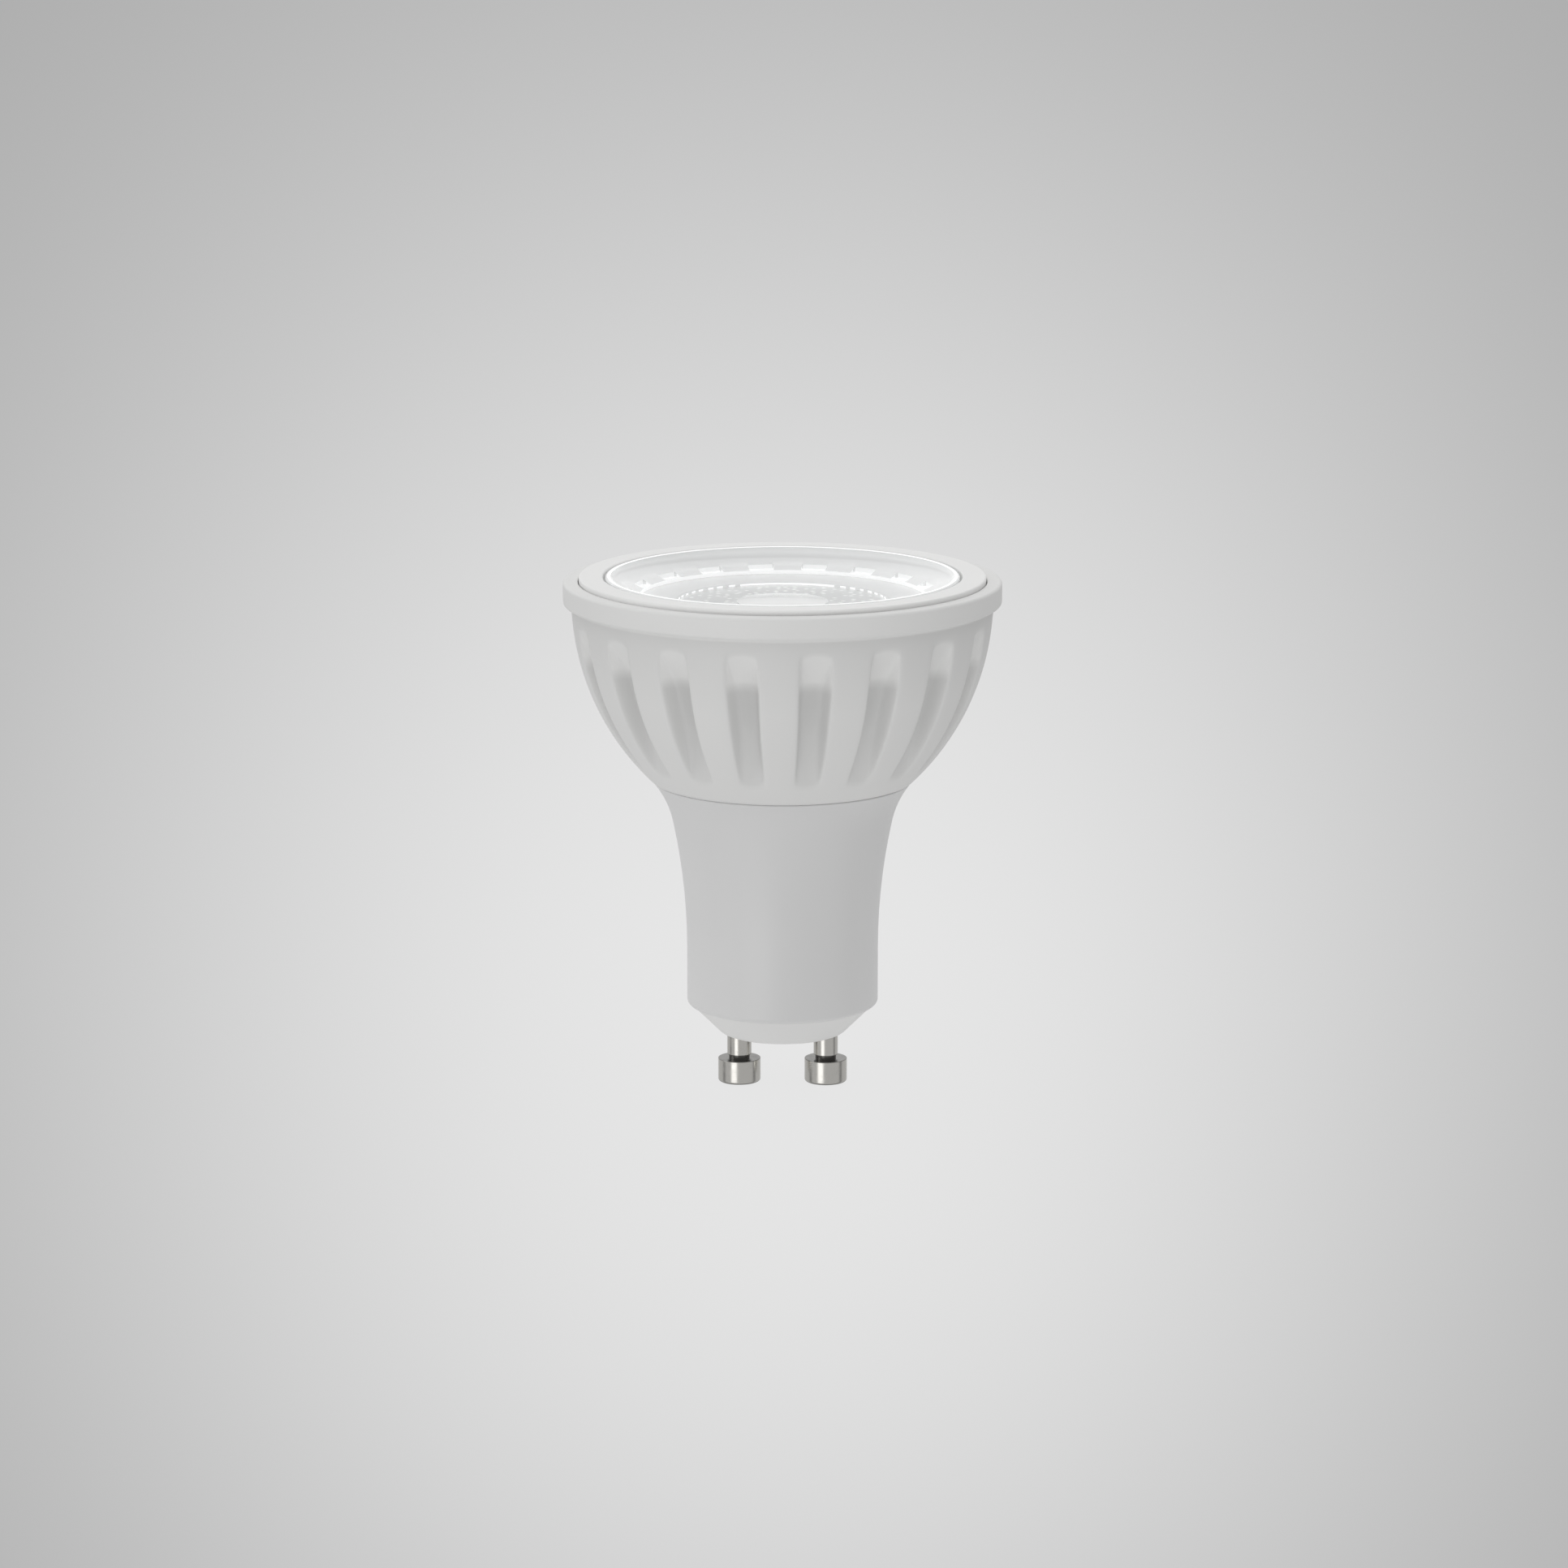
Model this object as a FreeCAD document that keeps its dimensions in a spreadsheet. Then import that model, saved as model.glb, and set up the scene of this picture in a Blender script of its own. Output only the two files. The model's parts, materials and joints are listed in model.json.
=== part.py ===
import FreeCAD, Part
import math
import os

import Sketcher

# A spotlight bulb with a two-pin twist base, standing on its pins.
# Millimetres. Z is the bulb's axis and points out of the lens, the pins lie along X,
# and the origin is the point between the pins on the plane that their heads stand on.

doc = FreeCAD.newDocument("spotlight_bulb")

# Driving dimensions

DIMENSIONS = [
    ("pin_pitch", 10.0, "distance between the two pins"),
    ("pin_length", 6.05, "pin foot to the face of the end cap"),
    ("pin_head_radius", 2.45, "button head of a pin"),
    ("pin_head_height", 2.75, "button head of a pin"),
    ("pin_head_chamfer", 0.25, "turned edge of the head"),
    ("pin_stem_radius", 1.4, "stem between head and cap"),
    ("pin_neck_radius", 1.2, "undercut where the stem meets the head"),
    ("pin_neck_height", 0.45, "undercut where the stem meets the head"),
    ("pin_rivet_radius", 1.95, "shank end spread over its boss"),
    ("pin_rivet_height", 0.5, "shank end spread over its boss"),
    ("pin_tail_radius", 0.8, "tail that takes the lead"),
    ("pin_tail_length", 1.2, "tail that takes the lead"),
    ("pin_fit", 0.03, "radial clearance of a stem in its hole"),
    ("cap_height", 3.35, "visible cone of the end cap, sloping at 45 degrees"),
    ("cap_face_round", 0.45, "rounded edge of the flat face"),
    ("cap_floor", 2.0, "thickness round the pins"),
    ("cap_wall", 1.35, "wall of the cap's collar"),
    ("cap_collar_height", 3.0, "collar inside the neck"),
    ("cap_boss_radius", 2.5, "boss round each pin"),
    ("cap_boss_height", 1.0, "boss round each pin"),
    ("joint_gap", 0.1, "radial clearance of a pushed-in collar"),
    ("neck_radius", 11.0, "straight part of the neck"),
    ("neck_chamfer", 0.55, "foot edge of the neck"),
    ("neck_wall", 1.5, "wall of the neck"),
    ("neck_shaft", 6.6, "straight part of the neck"),
    ("neck_height", 26.3, "neck foot to the seam with the bowl"),
    ("neck_sweep_width", 1.6, "how far the long arc opens the neck"),
    ("neck_sweep_arc", 70.7, "radius of the long arc"),
    ("neck_flare_width", 2.3, "how far the short arc opens it on, up to the seam"),
    ("neck_flare_height", 4.7, "short arc below the seam"),
    ("neck_flare_arc", 11.2, "radius of the short arc"),
    ("seam_width", 2.5, "flat seam round the neck's upper collar"),
    ("seam_groove", 0.14, "broken edge each side of the seam"),
    ("spigot_height", 2.8, "collar of the neck inside the bowl"),
    ("spigot_end_gap", 0.1, "clearance above that collar"),
    ("bowl_floor", 1.6, "thickness of the bowl's floor"),
    ("bowl_height", 20.6, "seam to the underside of the rim"),
    ("bowl_arc", 29.4, "arc of the bowl's side"),
    ("bowl_wall", 3.4, "wall between the flutes"),
    ("hollow_foot_width", 2.76, "how far the bowl's hollow is open at its floor"),
    ("rim_radius", 25.0, "outside of the rim"),
    ("rim_overhang", 0.9, "rim beyond the side of the bowl"),
    ("rim_height", 2.55, "outside of the rim"),
    ("rim_round", 0.35, "rounded edges of the rim"),
    ("rim_land", 1.8, "edge of the rim to the front ring"),
    ("flute_count", 18, "flutes round the bowl"),
    ("flute_width", 3.7, "across a flute, from its top down to its knee"),
    ("flute_foot_width", 2.9, "across a flute at its foot"),
    ("flute_corner", 0.8, "rounded corners of a flute's floor"),
    ("flute_depth", 3.2, "side of the bowl at the rim in to the knee of a flute's floor"),
    ("flute_top_gap", 1.4, "underside of the rim to the top of a flute"),
    ("flute_ramp", 4.5, "ramp from the top of a flute down to its knee"),
    ("flute_foot_height", 2.1, "seam up to where a flute runs out"),
    ("flute_foot_reach", 1.95, "seam out to where a flute runs out"),
    ("ring_width", 2.75, "face of the front ring"),
    ("ring_height", 1.5, "thickness of the front ring"),
    ("ring_rise", 0.55, "front ring above the rim"),
    ("ring_round", 0.2, "rounded edges of the front ring"),
    ("lens_gap", 0.25, "bore of the front ring to the lip of the lens"),
    ("lens_flange_width", 1.2, "flange held by the front ring"),
    ("lens_flange_height", 1.0, "flange held by the front ring"),
    ("lens_seat_depth", 0.7, "lens seat below the seat of the front ring"),
    ("lens_fit", 0.1, "clearance round the lens flange"),
    ("lens_lip", 0.35, "width of the raised lip of the lens"),
    ("lens_round", 0.25, "outer edge of the lip"),
    ("dish_depth", 2.2, "lip to the foot of the dished face"),
    ("dish_arc", 9.0, "hollow arc of the dished face"),
    ("dish_width", 3.3, "lip to the foot of the dished face"),
    ("outer_step", 0.45, "step at the foot of the dish"),
    ("face_width", 4.3, "face between the two steps"),
    ("face_fall", 0.3, "fall of the face between the two steps"),
    ("inner_step", 0.25, "second step"),
    ("eye_radius", 5.2, "raised eye in the middle of the lens"),
    ("eye_height", 0.45, "raised eye in the middle of the lens"),
    ("notch_count", 16, "notches above the first step"),
    ("notch_width", 2.9, "notches above the first step"),
    ("notch_depth", 1.1, "notches above the first step"),
    ("cone_setback", 1.0, "side of the light cone inside the lip, under the flange"),
    ("cone_arc", 30.0, "bulged side of the light cone"),
    ("cone_foot_width", 2.2, "foot of the light cone round its well"),
    ("cone_foot_gap", 0.3, "light cone above the dam of the light source"),
    ("well_gap", 0.3, "mouth of the well outside the dam"),
    ("well_draft", 0.8, "how much narrower the roof of the well is"),
    ("well_height", 5.2, "well over the light source"),
    ("well_dome", 1.0, "domed roof of the well, hanging down"),
    ("cup_gap", 0.1, "clearance between metal cup and bowl"),
    ("cup_wall", 1.0, "side of the metal cup"),
    ("cup_floor", 1.5, "floor of the metal cup"),
    ("cup_top_gap", 1.2, "lens seat to the edge of the metal cup"),
    ("passage_gap", 1.35, "hole in the bowl's floor round the wires"),
    ("pad_setback", 0.3, "edge of the thermal pad inside the metal board"),
    ("pad_height", 0.3, "thermal pad"),
    ("board_margin", 0.4, "metal board beyond the screw heads"),
    ("led_board_height", 1.6, "metal board of the light source"),
    ("chip_side", 13.5, "ceramic carrier of the light source"),
    ("chip_height", 1.0, "ceramic carrier of the light source"),
    ("dam_margin", 0.85, "dam inside the sides of the carrier"),
    ("dam_width", 0.6, "dam round the phosphor"),
    ("dam_height", 0.5, "dam round the phosphor"),
    ("phosphor_height", 0.4, "phosphor inside the dam"),
    ("screw_gap", 0.55, "head of a board screw to the carrier"),
    ("screw_radius", 1.0, "shank of a board screw"),
    ("screw_head_radius", 1.8, "head of a board screw"),
    ("screw_head_height", 1.1, "head of a board screw"),
    ("screw_slot_width", 0.5, "slot of a board screw"),
    ("screw_slot_depth", 0.5, "slot of a board screw"),
    ("screw_fit", 0.05, "radial clearance of a board screw"),
    ("lead_gap", 0.4, "wire to the light source beside the carrier"),
    ("lead_radius", 0.55, "wire to the light source"),
    ("lead_hole_fit", 0.25, "radial clearance of a wire in its hole"),
    ("lead_proud", 0.5, "wire end above the metal board"),
    ("lead_lap", 4.0, "wire end along the driver board"),
    ("pin_lead_radius", 0.45, "wire from a pin to the driver board"),
    ("pin_lead_lap", 3.2, "wire end along the driver board"),
    ("driver_side_gap", 0.8, "side of the driver board to the bore of the neck"),
    ("driver_top_gap", 3.4, "top of the driver board to the metal cup"),
    ("driver_thickness", 1.0, "driver board"),
    ("fuse_radius", 1.5, "fusible resistor"),
    ("fuse_length", 7.5, "fusible resistor"),
    ("fuse_lift", 5.2, "fusible resistor above the board's foot"),
    ("core_gap", 1.5, "fusible resistor to transformer"),
    ("core_width", 10.0, "transformer core"),
    ("core_depth", 4.2, "transformer core"),
    ("core_height", 9.0, "transformer core"),
    ("core_yoke", 1.8, "end yokes of the transformer core"),
    ("winding_gap", 0.1, "winding inside the core's frame"),
    ("winding_depth", 7.4, "transformer winding across its core"),
    ("winding_width", 6.2, "transformer winding"),
    ("smoothing_foot_gap", 0.8, "transformer to smoothing capacitor"),
    ("smoothing_top_gap", 0.3, "smoothing capacitor to the metal cup"),
    ("smoothing_radius", 4.0, "smoothing capacitor"),
    ("smoothing_groove", 0.3, "rolled groove near its foot"),
    ("bridge_width", 4.7, "bridge rectifier"),
    ("bridge_depth", 2.4, "bridge rectifier"),
    ("bridge_height", 3.9, "bridge rectifier"),
    ("bridge_lift", 2.2, "bridge rectifier above the board's foot"),
    ("film_width", 8.0, "film capacitor"),
    ("film_depth", 4.0, "film capacitor"),
    ("film_height", 7.0, "film capacitor, half way up the board"),
    ("driver_chip_width", 5.0, "driver chip"),
    ("driver_chip_depth", 1.5, "driver chip"),
    ("driver_chip_height", 3.9, "driver chip"),
    ("driver_chip_drop", 2.3, "driver chip below the board's top"),
]

dims = doc.addObject("Spreadsheet::Sheet", "dims")
for row, (alias, value, note) in enumerate(DIMENSIONS, start=1):
    dims.set(f"A{row}", alias)
    dims.set(f"B{row}", str(value))
    dims.set(f"C{row}", note)
    dims.setAlias(f"B{row}", alias)
doc.recompute()

# Levels, as sums of the dimensions that stack up to them

CAP_FACE = "dims.pin_length"
CAP_FLOOR_TOP = "(dims.pin_length + dims.cap_floor)"
CAP_BOSS_TOP = "(dims.pin_length + dims.cap_floor + dims.cap_boss_height)"
PIN_TOP = f"({CAP_BOSS_TOP} + dims.pin_rivet_height + dims.pin_tail_length)"
NECK_FOOT = "(dims.pin_length + dims.cap_height)"
CAP_TOP = f"({NECK_FOOT} + dims.cap_collar_height)"
SEAM = f"({NECK_FOOT} + dims.neck_height)"
BOWL_FLOOR = f"({SEAM} + dims.spigot_height + dims.spigot_end_gap)"
CUP_SEAT = f"({BOWL_FLOOR} + dims.bowl_floor)"
DRIVER_TOP = f"({CUP_SEAT} - dims.driver_top_gap)"
FUSE_LEVEL = f"({CAP_TOP} + dims.fuse_lift)"
CORE_FOOT = f"({FUSE_LEVEL} + dims.fuse_radius + dims.core_gap)"
SMOOTHING_FOOT = f"({CORE_FOOT} + dims.core_height + dims.smoothing_foot_gap)"
SMOOTHING_TOP = f"({CUP_SEAT} - dims.smoothing_top_gap)"
PAD_SEAT = f"({CUP_SEAT} + dims.cup_floor)"
BOARD_SEAT = f"({PAD_SEAT} + dims.pad_height)"
BOARD_TOP = f"({BOARD_SEAT} + dims.led_board_height)"
CHIP_TOP = f"({BOARD_TOP} + dims.chip_height)"
DAM_TOP = f"({CHIP_TOP} + dims.dam_height)"
LENS_FOOT = f"({DAM_TOP} + dims.cone_foot_gap)"
RIM_UNDER = f"({SEAM} + dims.bowl_height)"
RIM_TOP = f"({RIM_UNDER} + dims.rim_height)"
RING_TOP = f"({RIM_TOP} + dims.ring_rise)"
RING_SEAT = f"({RING_TOP} - dims.ring_height)"
LENS_SEAT = f"({RING_SEAT} - dims.lens_seat_depth)"
FLANGE_TOP = f"({LENS_SEAT} + dims.lens_flange_height)"
HOLLOW_TOP = f"({LENS_SEAT} - dims.cup_top_gap)"
DISH_FOOT = f"({RING_TOP} - dims.dish_depth)"

# Radii, worked out from the neck upwards and from the rim inwards

CAP_RIM_RADIUS = "(dims.neck_radius - dims.neck_chamfer)"
COLLAR_BORE = "(dims.neck_radius - dims.neck_wall)"
COLLAR_RADIUS = f"({COLLAR_BORE} - dims.joint_gap)"
FLARE_RADIUS = "(dims.neck_radius + dims.neck_sweep_width)"
SEAM_RADIUS = f"({FLARE_RADIUS} + dims.neck_flare_width)"
SPIGOT_RADIUS = f"({SEAM_RADIUS} - dims.seam_width)"
HOLLOW_FOOT = f"({SEAM_RADIUS} - dims.bowl_wall + dims.hollow_foot_width)"
BOWL_RADIUS = "(dims.rim_radius - dims.rim_overhang)"
HOLLOW_RADIUS = f"({BOWL_RADIUS} - dims.bowl_wall)"
RING_RADIUS = "(dims.rim_radius - dims.rim_land)"
RING_BORE = f"({RING_RADIUS} - dims.ring_width)"
LENS_RADIUS = f"({RING_BORE} - dims.lens_gap)"
FLANGE_RADIUS = f"({LENS_RADIUS} + dims.lens_flange_width)"
FLANGE_POCKET = f"({FLANGE_RADIUS} + dims.lens_fit)"
LIP_RADIUS = f"({LENS_RADIUS} - dims.lens_round - dims.lens_lip)"
DISH_RADIUS = f"({LIP_RADIUS} - dims.dish_width)"
STEP_RADIUS = f"({DISH_RADIUS} - dims.face_width)"

# Places round the light source and on the driver board

DAM_RADIUS = "(dims.chip_side / 2 - dims.dam_margin)"
WELL_RADIUS = f"({DAM_RADIUS} + dims.well_gap)"
WELL_ROOF_RADIUS = f"({WELL_RADIUS} - dims.well_draft)"
SCREW_Y = "(dims.chip_side / 2 + dims.screw_gap + dims.screw_head_radius)"
SCREW_HOLE = "(dims.screw_radius + dims.screw_fit)"
LEAD_X = "(dims.chip_side / 2 + dims.lead_gap + dims.lead_radius)"
LEAD_HOLE = "(dims.lead_radius + dims.lead_hole_fit)"
PASSAGE_RADIUS = f"({LEAD_X} + dims.lead_radius + dims.passage_gap)"
LED_BOARD_RADIUS = f"({SCREW_Y} + dims.screw_head_radius + dims.board_margin)"
PIN_X = "dims.pin_pitch / 2"
BOARD_SIDE = f"({COLLAR_BORE} - dims.driver_side_gap)"
BOARD_FACE = "-dims.pin_lead_radius"
BOARD_BACK = "(-dims.pin_lead_radius - dims.driver_thickness)"

pieces = []


def size(expression):
    """The number that an expression of the sheet gives now."""
    return float(dims.evalExpression(expression))


def bind(thing, **expressions):
    """Tie properties to expressions; a double underscore in a name stands for a dot."""
    for name, expression in expressions.items():
        thing.setExpression(name.replace("__", "."), str(expression))


def new_body(label):
    """An empty body that becomes one piece."""
    body = doc.addObject("PartDesign::Body", label)
    body.Label = label
    pieces.append(body)
    return body


def datum(body, role):
    """One of the body's own origin planes or axes."""
    return next(item for item in body.Origin.OriginFeatures if item.Role == role)


def new_sketch(body, name, plane, offset=None):
    """A sketch on an origin plane, moved along the plane's normal by an expression."""
    sketch = body.newObject("Sketcher::SketchObject", name)
    sketch.AttachmentSupport = (datum(body, plane), [""])
    sketch.MapMode = "FlatFace"
    if offset is not None:
        bind(sketch, AttachmentOffset__Base__z=offset)
    return sketch


def fix(sketch, kind, edge, end, expression):
    """Hold an edge's end at a distance from the sketch's origin."""
    value = size(expression)
    index = sketch.addConstraint(Sketcher.Constraint(kind, -1, 1, edge, end, value))
    sketch.setExpression(f"Constraints[{index}]", expression)


def arc_between(start, end, radius):
    """Arc from start to end; a positive radius turns left, a negative one right."""
    chord = end - start
    half = chord.Length / 2
    rise = math.sqrt(max(radius * radius - half * half, 0.0))
    left = FreeCAD.Vector(-chord.y, chord.x, 0).normalize()
    centre = (start + end) / 2 + left * math.copysign(rise, radius)
    bulge = (start + end) / 2 - centre
    middle = centre + bulge.normalize() * abs(radius)
    return Part.ArcOfCircle(start, middle, end)


def dome_arc(radius, height):
    """Radius of the ball whose cap has this radius and height."""
    return f"(({radius}) ^ 2 + ({height}) ^ 2) / (2 * ({height}))"


def draw(sketch, path, closed=True):
    """Outline through the corners of path, each (x, y) or (x, y, radius) in expressions.

    The radius bends the edge that arrives at that corner. Each corner is held from the
    sketch's origin and each arc by its radius.
    """
    corners = [FreeCAD.Vector(size(step[0]), size(step[1]), 0) for step in path]
    first = 0 if closed else 1
    edges = []
    for index in range(first, len(path)):
        start = corners[index - 1]
        end = corners[index]
        if len(path[index]) == 2:
            edge = sketch.addGeometry(Part.LineSegment(start, end))
            edges.append((edge, 2, 1))
            continue
        radius = size(path[index][2])
        edge = sketch.addGeometry(arc_between(start, end, radius))
        edges.append((edge, 2, 1) if radius > 0 else (edge, 1, 2))
        held = sketch.addConstraint(Sketcher.Constraint("Radius", edge, abs(radius)))
        sketch.setExpression(f"Constraints[{held}]", f"abs({path[index][2]})")
    for (edge, end, _), corner in zip(edges, path[first:]):
        fix(sketch, "DistanceX", edge, end, corner[0])
        fix(sketch, "DistanceY", edge, end, corner[1])
    for before, after in zip(edges if closed else edges[:-1], edges[1:] + edges[:1]):
        link = Sketcher.Constraint("Coincident", before[0], before[1], after[0], after[2])
        sketch.addConstraint(link)
    if not closed:
        fix(sketch, "DistanceX", edges[0][0], edges[0][2], path[0][0])
        fix(sketch, "DistanceY", edges[0][0], edges[0][2], path[0][1])


def circle(sketch, x, y, radius):
    """A circle held by its centre and radius."""
    centre = FreeCAD.Vector(size(x), size(y), 0)
    edge = sketch.addGeometry(Part.Circle(centre, FreeCAD.Vector(0, 0, 1), size(radius)))
    fix(sketch, "DistanceX", edge, 3, x)
    fix(sketch, "DistanceY", edge, 3, y)
    held = sketch.addConstraint(Sketcher.Constraint("Radius", edge, size(radius)))
    sketch.setExpression(f"Constraints[{held}]", radius)


def rectangle(sketch, low_x, high_x, low_y, high_y):
    """A rectangle between four expressions."""
    draw(sketch, [(low_x, low_y), (high_x, low_y), (high_x, high_y), (low_x, high_y)])


def revolve(body, name, path, cut=False):
    """Turn an outline in the XZ plane round the bulb's axis, as solid or as groove."""
    sketch = new_sketch(body, f"{name}_outline", "XZ_Plane")
    draw(sketch, path)
    turn = body.newObject("PartDesign::Groove" if cut else "PartDesign::Revolution", name)
    turn.Profile = sketch
    turn.ReferenceAxis = (sketch, ["V_Axis"])
    turn.Angle = 360
    return turn


def drill(body, name, places, radius, floor, depth):
    """Round holes up from the level floor, by depth."""
    sketch = new_sketch(body, f"{name}_circles", "XY_Plane", floor)
    for x, y in places:
        circle(sketch, x, y, radius)
    hole = body.newObject("PartDesign::Pocket", name)
    hole.Profile = sketch
    hole.Reversed = True
    bind(hole, Length=depth)
    return hole


def plate(body, name, draw_shape, floor, height):
    """A flat shape raised from the level floor."""
    sketch = new_sketch(body, f"{name}_outline", "XY_Plane", floor)
    draw_shape(sketch)
    pad = body.newObject("PartDesign::Pad", name)
    pad.Profile = sketch
    bind(pad, Length=height)
    return pad


def ring_of(body, feature, name, count):
    """Repeat a feature round the bulb's axis."""
    pattern = body.newObject("PartDesign::PolarPattern", name)
    pattern.Originals = [feature]
    pattern.Axis = (datum(body, "Z_Axis"), [""])
    pattern.Angle = 360
    bind(pattern, Occurrences=count)
    body.Tip = pattern
    return pattern


def block(label, width, depth, height, x, y, z, listed=True):
    """A box from its lowest corner."""
    box = doc.addObject("Part::Box", label)
    box.Label = label
    bind(box, Length=width, Width=depth, Height=height)
    bind(box, Placement__Base__x=x, Placement__Base__y=y, Placement__Base__z=z)
    if listed:
        pieces.append(box)
    return box


def rod(label, radius, height, x, y, z, listed=True):
    """An upright cylinder from the middle of its foot."""
    cylinder = doc.addObject("Part::Cylinder", label)
    cylinder.Label = label
    bind(cylinder, Radius=radius, Height=height)
    bind(cylinder, Placement__Base__x=x, Placement__Base__y=y, Placement__Base__z=z)
    if listed:
        pieces.append(cylinder)
    return cylinder


def combine(kind, label, parts):
    """Join primitives, or cut the second from the first, into one piece."""
    whole = doc.addObject(kind, label)
    whole.Label = label
    if kind == "Part::Cut":
        whole.Base, whole.Tool = parts
    else:
        whole.Shapes = parts
    pieces.append(whole)
    return whole


# Contact pins: nickel-plated brass, turned, pushed up through the cap and riveted over

def make_contact_pin(label, side):
    body = new_body(label)
    rivet_top = f"{CAP_BOSS_TOP} + dims.pin_rivet_height"
    revolve(body, f"{label}_turning", [
        ("0", "0"),
        ("dims.pin_head_radius - dims.pin_head_chamfer", "0"),
        ("dims.pin_head_radius", "dims.pin_head_chamfer"),
        ("dims.pin_head_radius", "dims.pin_head_height"),
        ("dims.pin_neck_radius", "dims.pin_head_height"),
        ("dims.pin_neck_radius", "dims.pin_head_height + dims.pin_neck_height"),
        ("dims.pin_stem_radius", "dims.pin_head_height + dims.pin_neck_height"),
        ("dims.pin_stem_radius", CAP_BOSS_TOP),
        ("dims.pin_rivet_radius", CAP_BOSS_TOP),
        ("dims.pin_rivet_radius", rivet_top),
        ("dims.pin_tail_radius", rivet_top),
        ("dims.pin_tail_radius", PIN_TOP),
        ("0", PIN_TOP),
    ])
    bind(body, Placement__Base__x=f"{side} * {PIN_X}")


for label, side in (("contact_pin_left", "-1"), ("contact_pin_right", "1")):
    make_contact_pin(label, side)


# End cap: a moulded plug whose cone is the bulb's foot and whose collar fills the neck

def make_end_cap():
    body = new_body("end_cap")
    inside = f"{COLLAR_RADIUS} - dims.cap_wall"
    face = f"({CAP_RIM_RADIUS} - dims.cap_height)"
    revolve(body, "cap_turning", [
        ("0", CAP_FACE),
        (f"{face} - dims.cap_face_round", CAP_FACE),
        (f"{face} + dims.cap_face_round * cos(45)", f"{CAP_FACE} + dims.cap_face_round * sin(45)",
         "dims.cap_face_round / tan(22.5)"),
        (CAP_RIM_RADIUS, NECK_FOOT),
        (COLLAR_RADIUS, NECK_FOOT),
        (COLLAR_RADIUS, CAP_TOP),
        (inside, CAP_TOP),
        (inside, CAP_FLOOR_TOP),
        ("0", CAP_FLOOR_TOP),
    ])
    places = [(f"-{PIN_X}", "0"), (PIN_X, "0")]

    def bosses(sketch):
        for x, y in places:
            circle(sketch, x, y, "dims.cap_boss_radius")

    plate(body, "pin_bosses", bosses, CAP_FLOOR_TOP, "dims.cap_boss_height")
    drill(body, "pin_holes", places, "dims.pin_stem_radius + dims.pin_fit", CAP_FACE,
          "dims.cap_floor + dims.cap_boss_height")


make_end_cap()


# Neck housing: a straight barrel that opens in two arcs to the width of the bowl

def make_neck_housing():
    body = new_body("neck_housing")
    shaft_top = f"{NECK_FOOT} + dims.neck_shaft"
    flare = f"{SEAM} - dims.neck_flare_height"
    mouth = f"{SPIGOT_RADIUS} - dims.neck_wall"
    revolve(body, "neck_turning", [
        (COLLAR_BORE, NECK_FOOT),
        (CAP_RIM_RADIUS, NECK_FOOT),
        ("dims.neck_radius", f"{NECK_FOOT} + dims.neck_chamfer", "dims.neck_chamfer"),
        ("dims.neck_radius", shaft_top),
        (FLARE_RADIUS, flare, "-dims.neck_sweep_arc"),
        (f"{SEAM_RADIUS} - dims.seam_groove", f"{SEAM} - dims.seam_groove",
         "-dims.neck_flare_arc"),
        (f"{SEAM_RADIUS} - 2 * dims.seam_groove", SEAM),
        (SPIGOT_RADIUS, SEAM),
        (SPIGOT_RADIUS, f"{SEAM} + dims.spigot_height"),
        (mouth, f"{SEAM} + dims.spigot_height"),
        (mouth, f"{SEAM} - dims.neck_wall"),
        (COLLAR_BORE, shaft_top),
    ])


make_neck_housing()


# Heat sink: a bowl of heat-conducting plastic with a rim, and flutes round its side

def make_heat_sink():
    body = new_body("heat_sink")
    socket = f"{SPIGOT_RADIUS} + dims.joint_gap"
    pocket = f"{RING_RADIUS} + dims.joint_gap"
    revolve(body, "bowl_turning", [
        (socket, SEAM),
        (f"{SEAM_RADIUS} - 2 * dims.seam_groove", SEAM),
        (f"{SEAM_RADIUS} - dims.seam_groove / 2", f"{SEAM} + dims.seam_groove"),
        (BOWL_RADIUS, RIM_UNDER, "dims.bowl_arc"),
        ("dims.rim_radius - dims.rim_round", RIM_UNDER),
        ("dims.rim_radius", f"{RIM_UNDER} + dims.rim_round", "dims.rim_round"),
        ("dims.rim_radius", f"{RIM_TOP} - dims.rim_round"),
        ("dims.rim_radius - dims.rim_round", RIM_TOP, "dims.rim_round"),
        (pocket, RIM_TOP),
        (pocket, RING_SEAT),
        (FLANGE_POCKET, RING_SEAT),
        (FLANGE_POCKET, LENS_SEAT),
        (HOLLOW_RADIUS, LENS_SEAT),
        (HOLLOW_RADIUS, HOLLOW_TOP),
        (HOLLOW_FOOT, CUP_SEAT, "-(dims.bowl_arc - dims.bowl_wall)"),
        (PASSAGE_RADIUS, CUP_SEAT),
        (PASSAGE_RADIUS, BOWL_FLOOR),
        (socket, BOWL_FLOOR),
    ])
    flute = make_flute(body)
    ring_of(body, flute, "flutes", "dims.flute_count")


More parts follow.
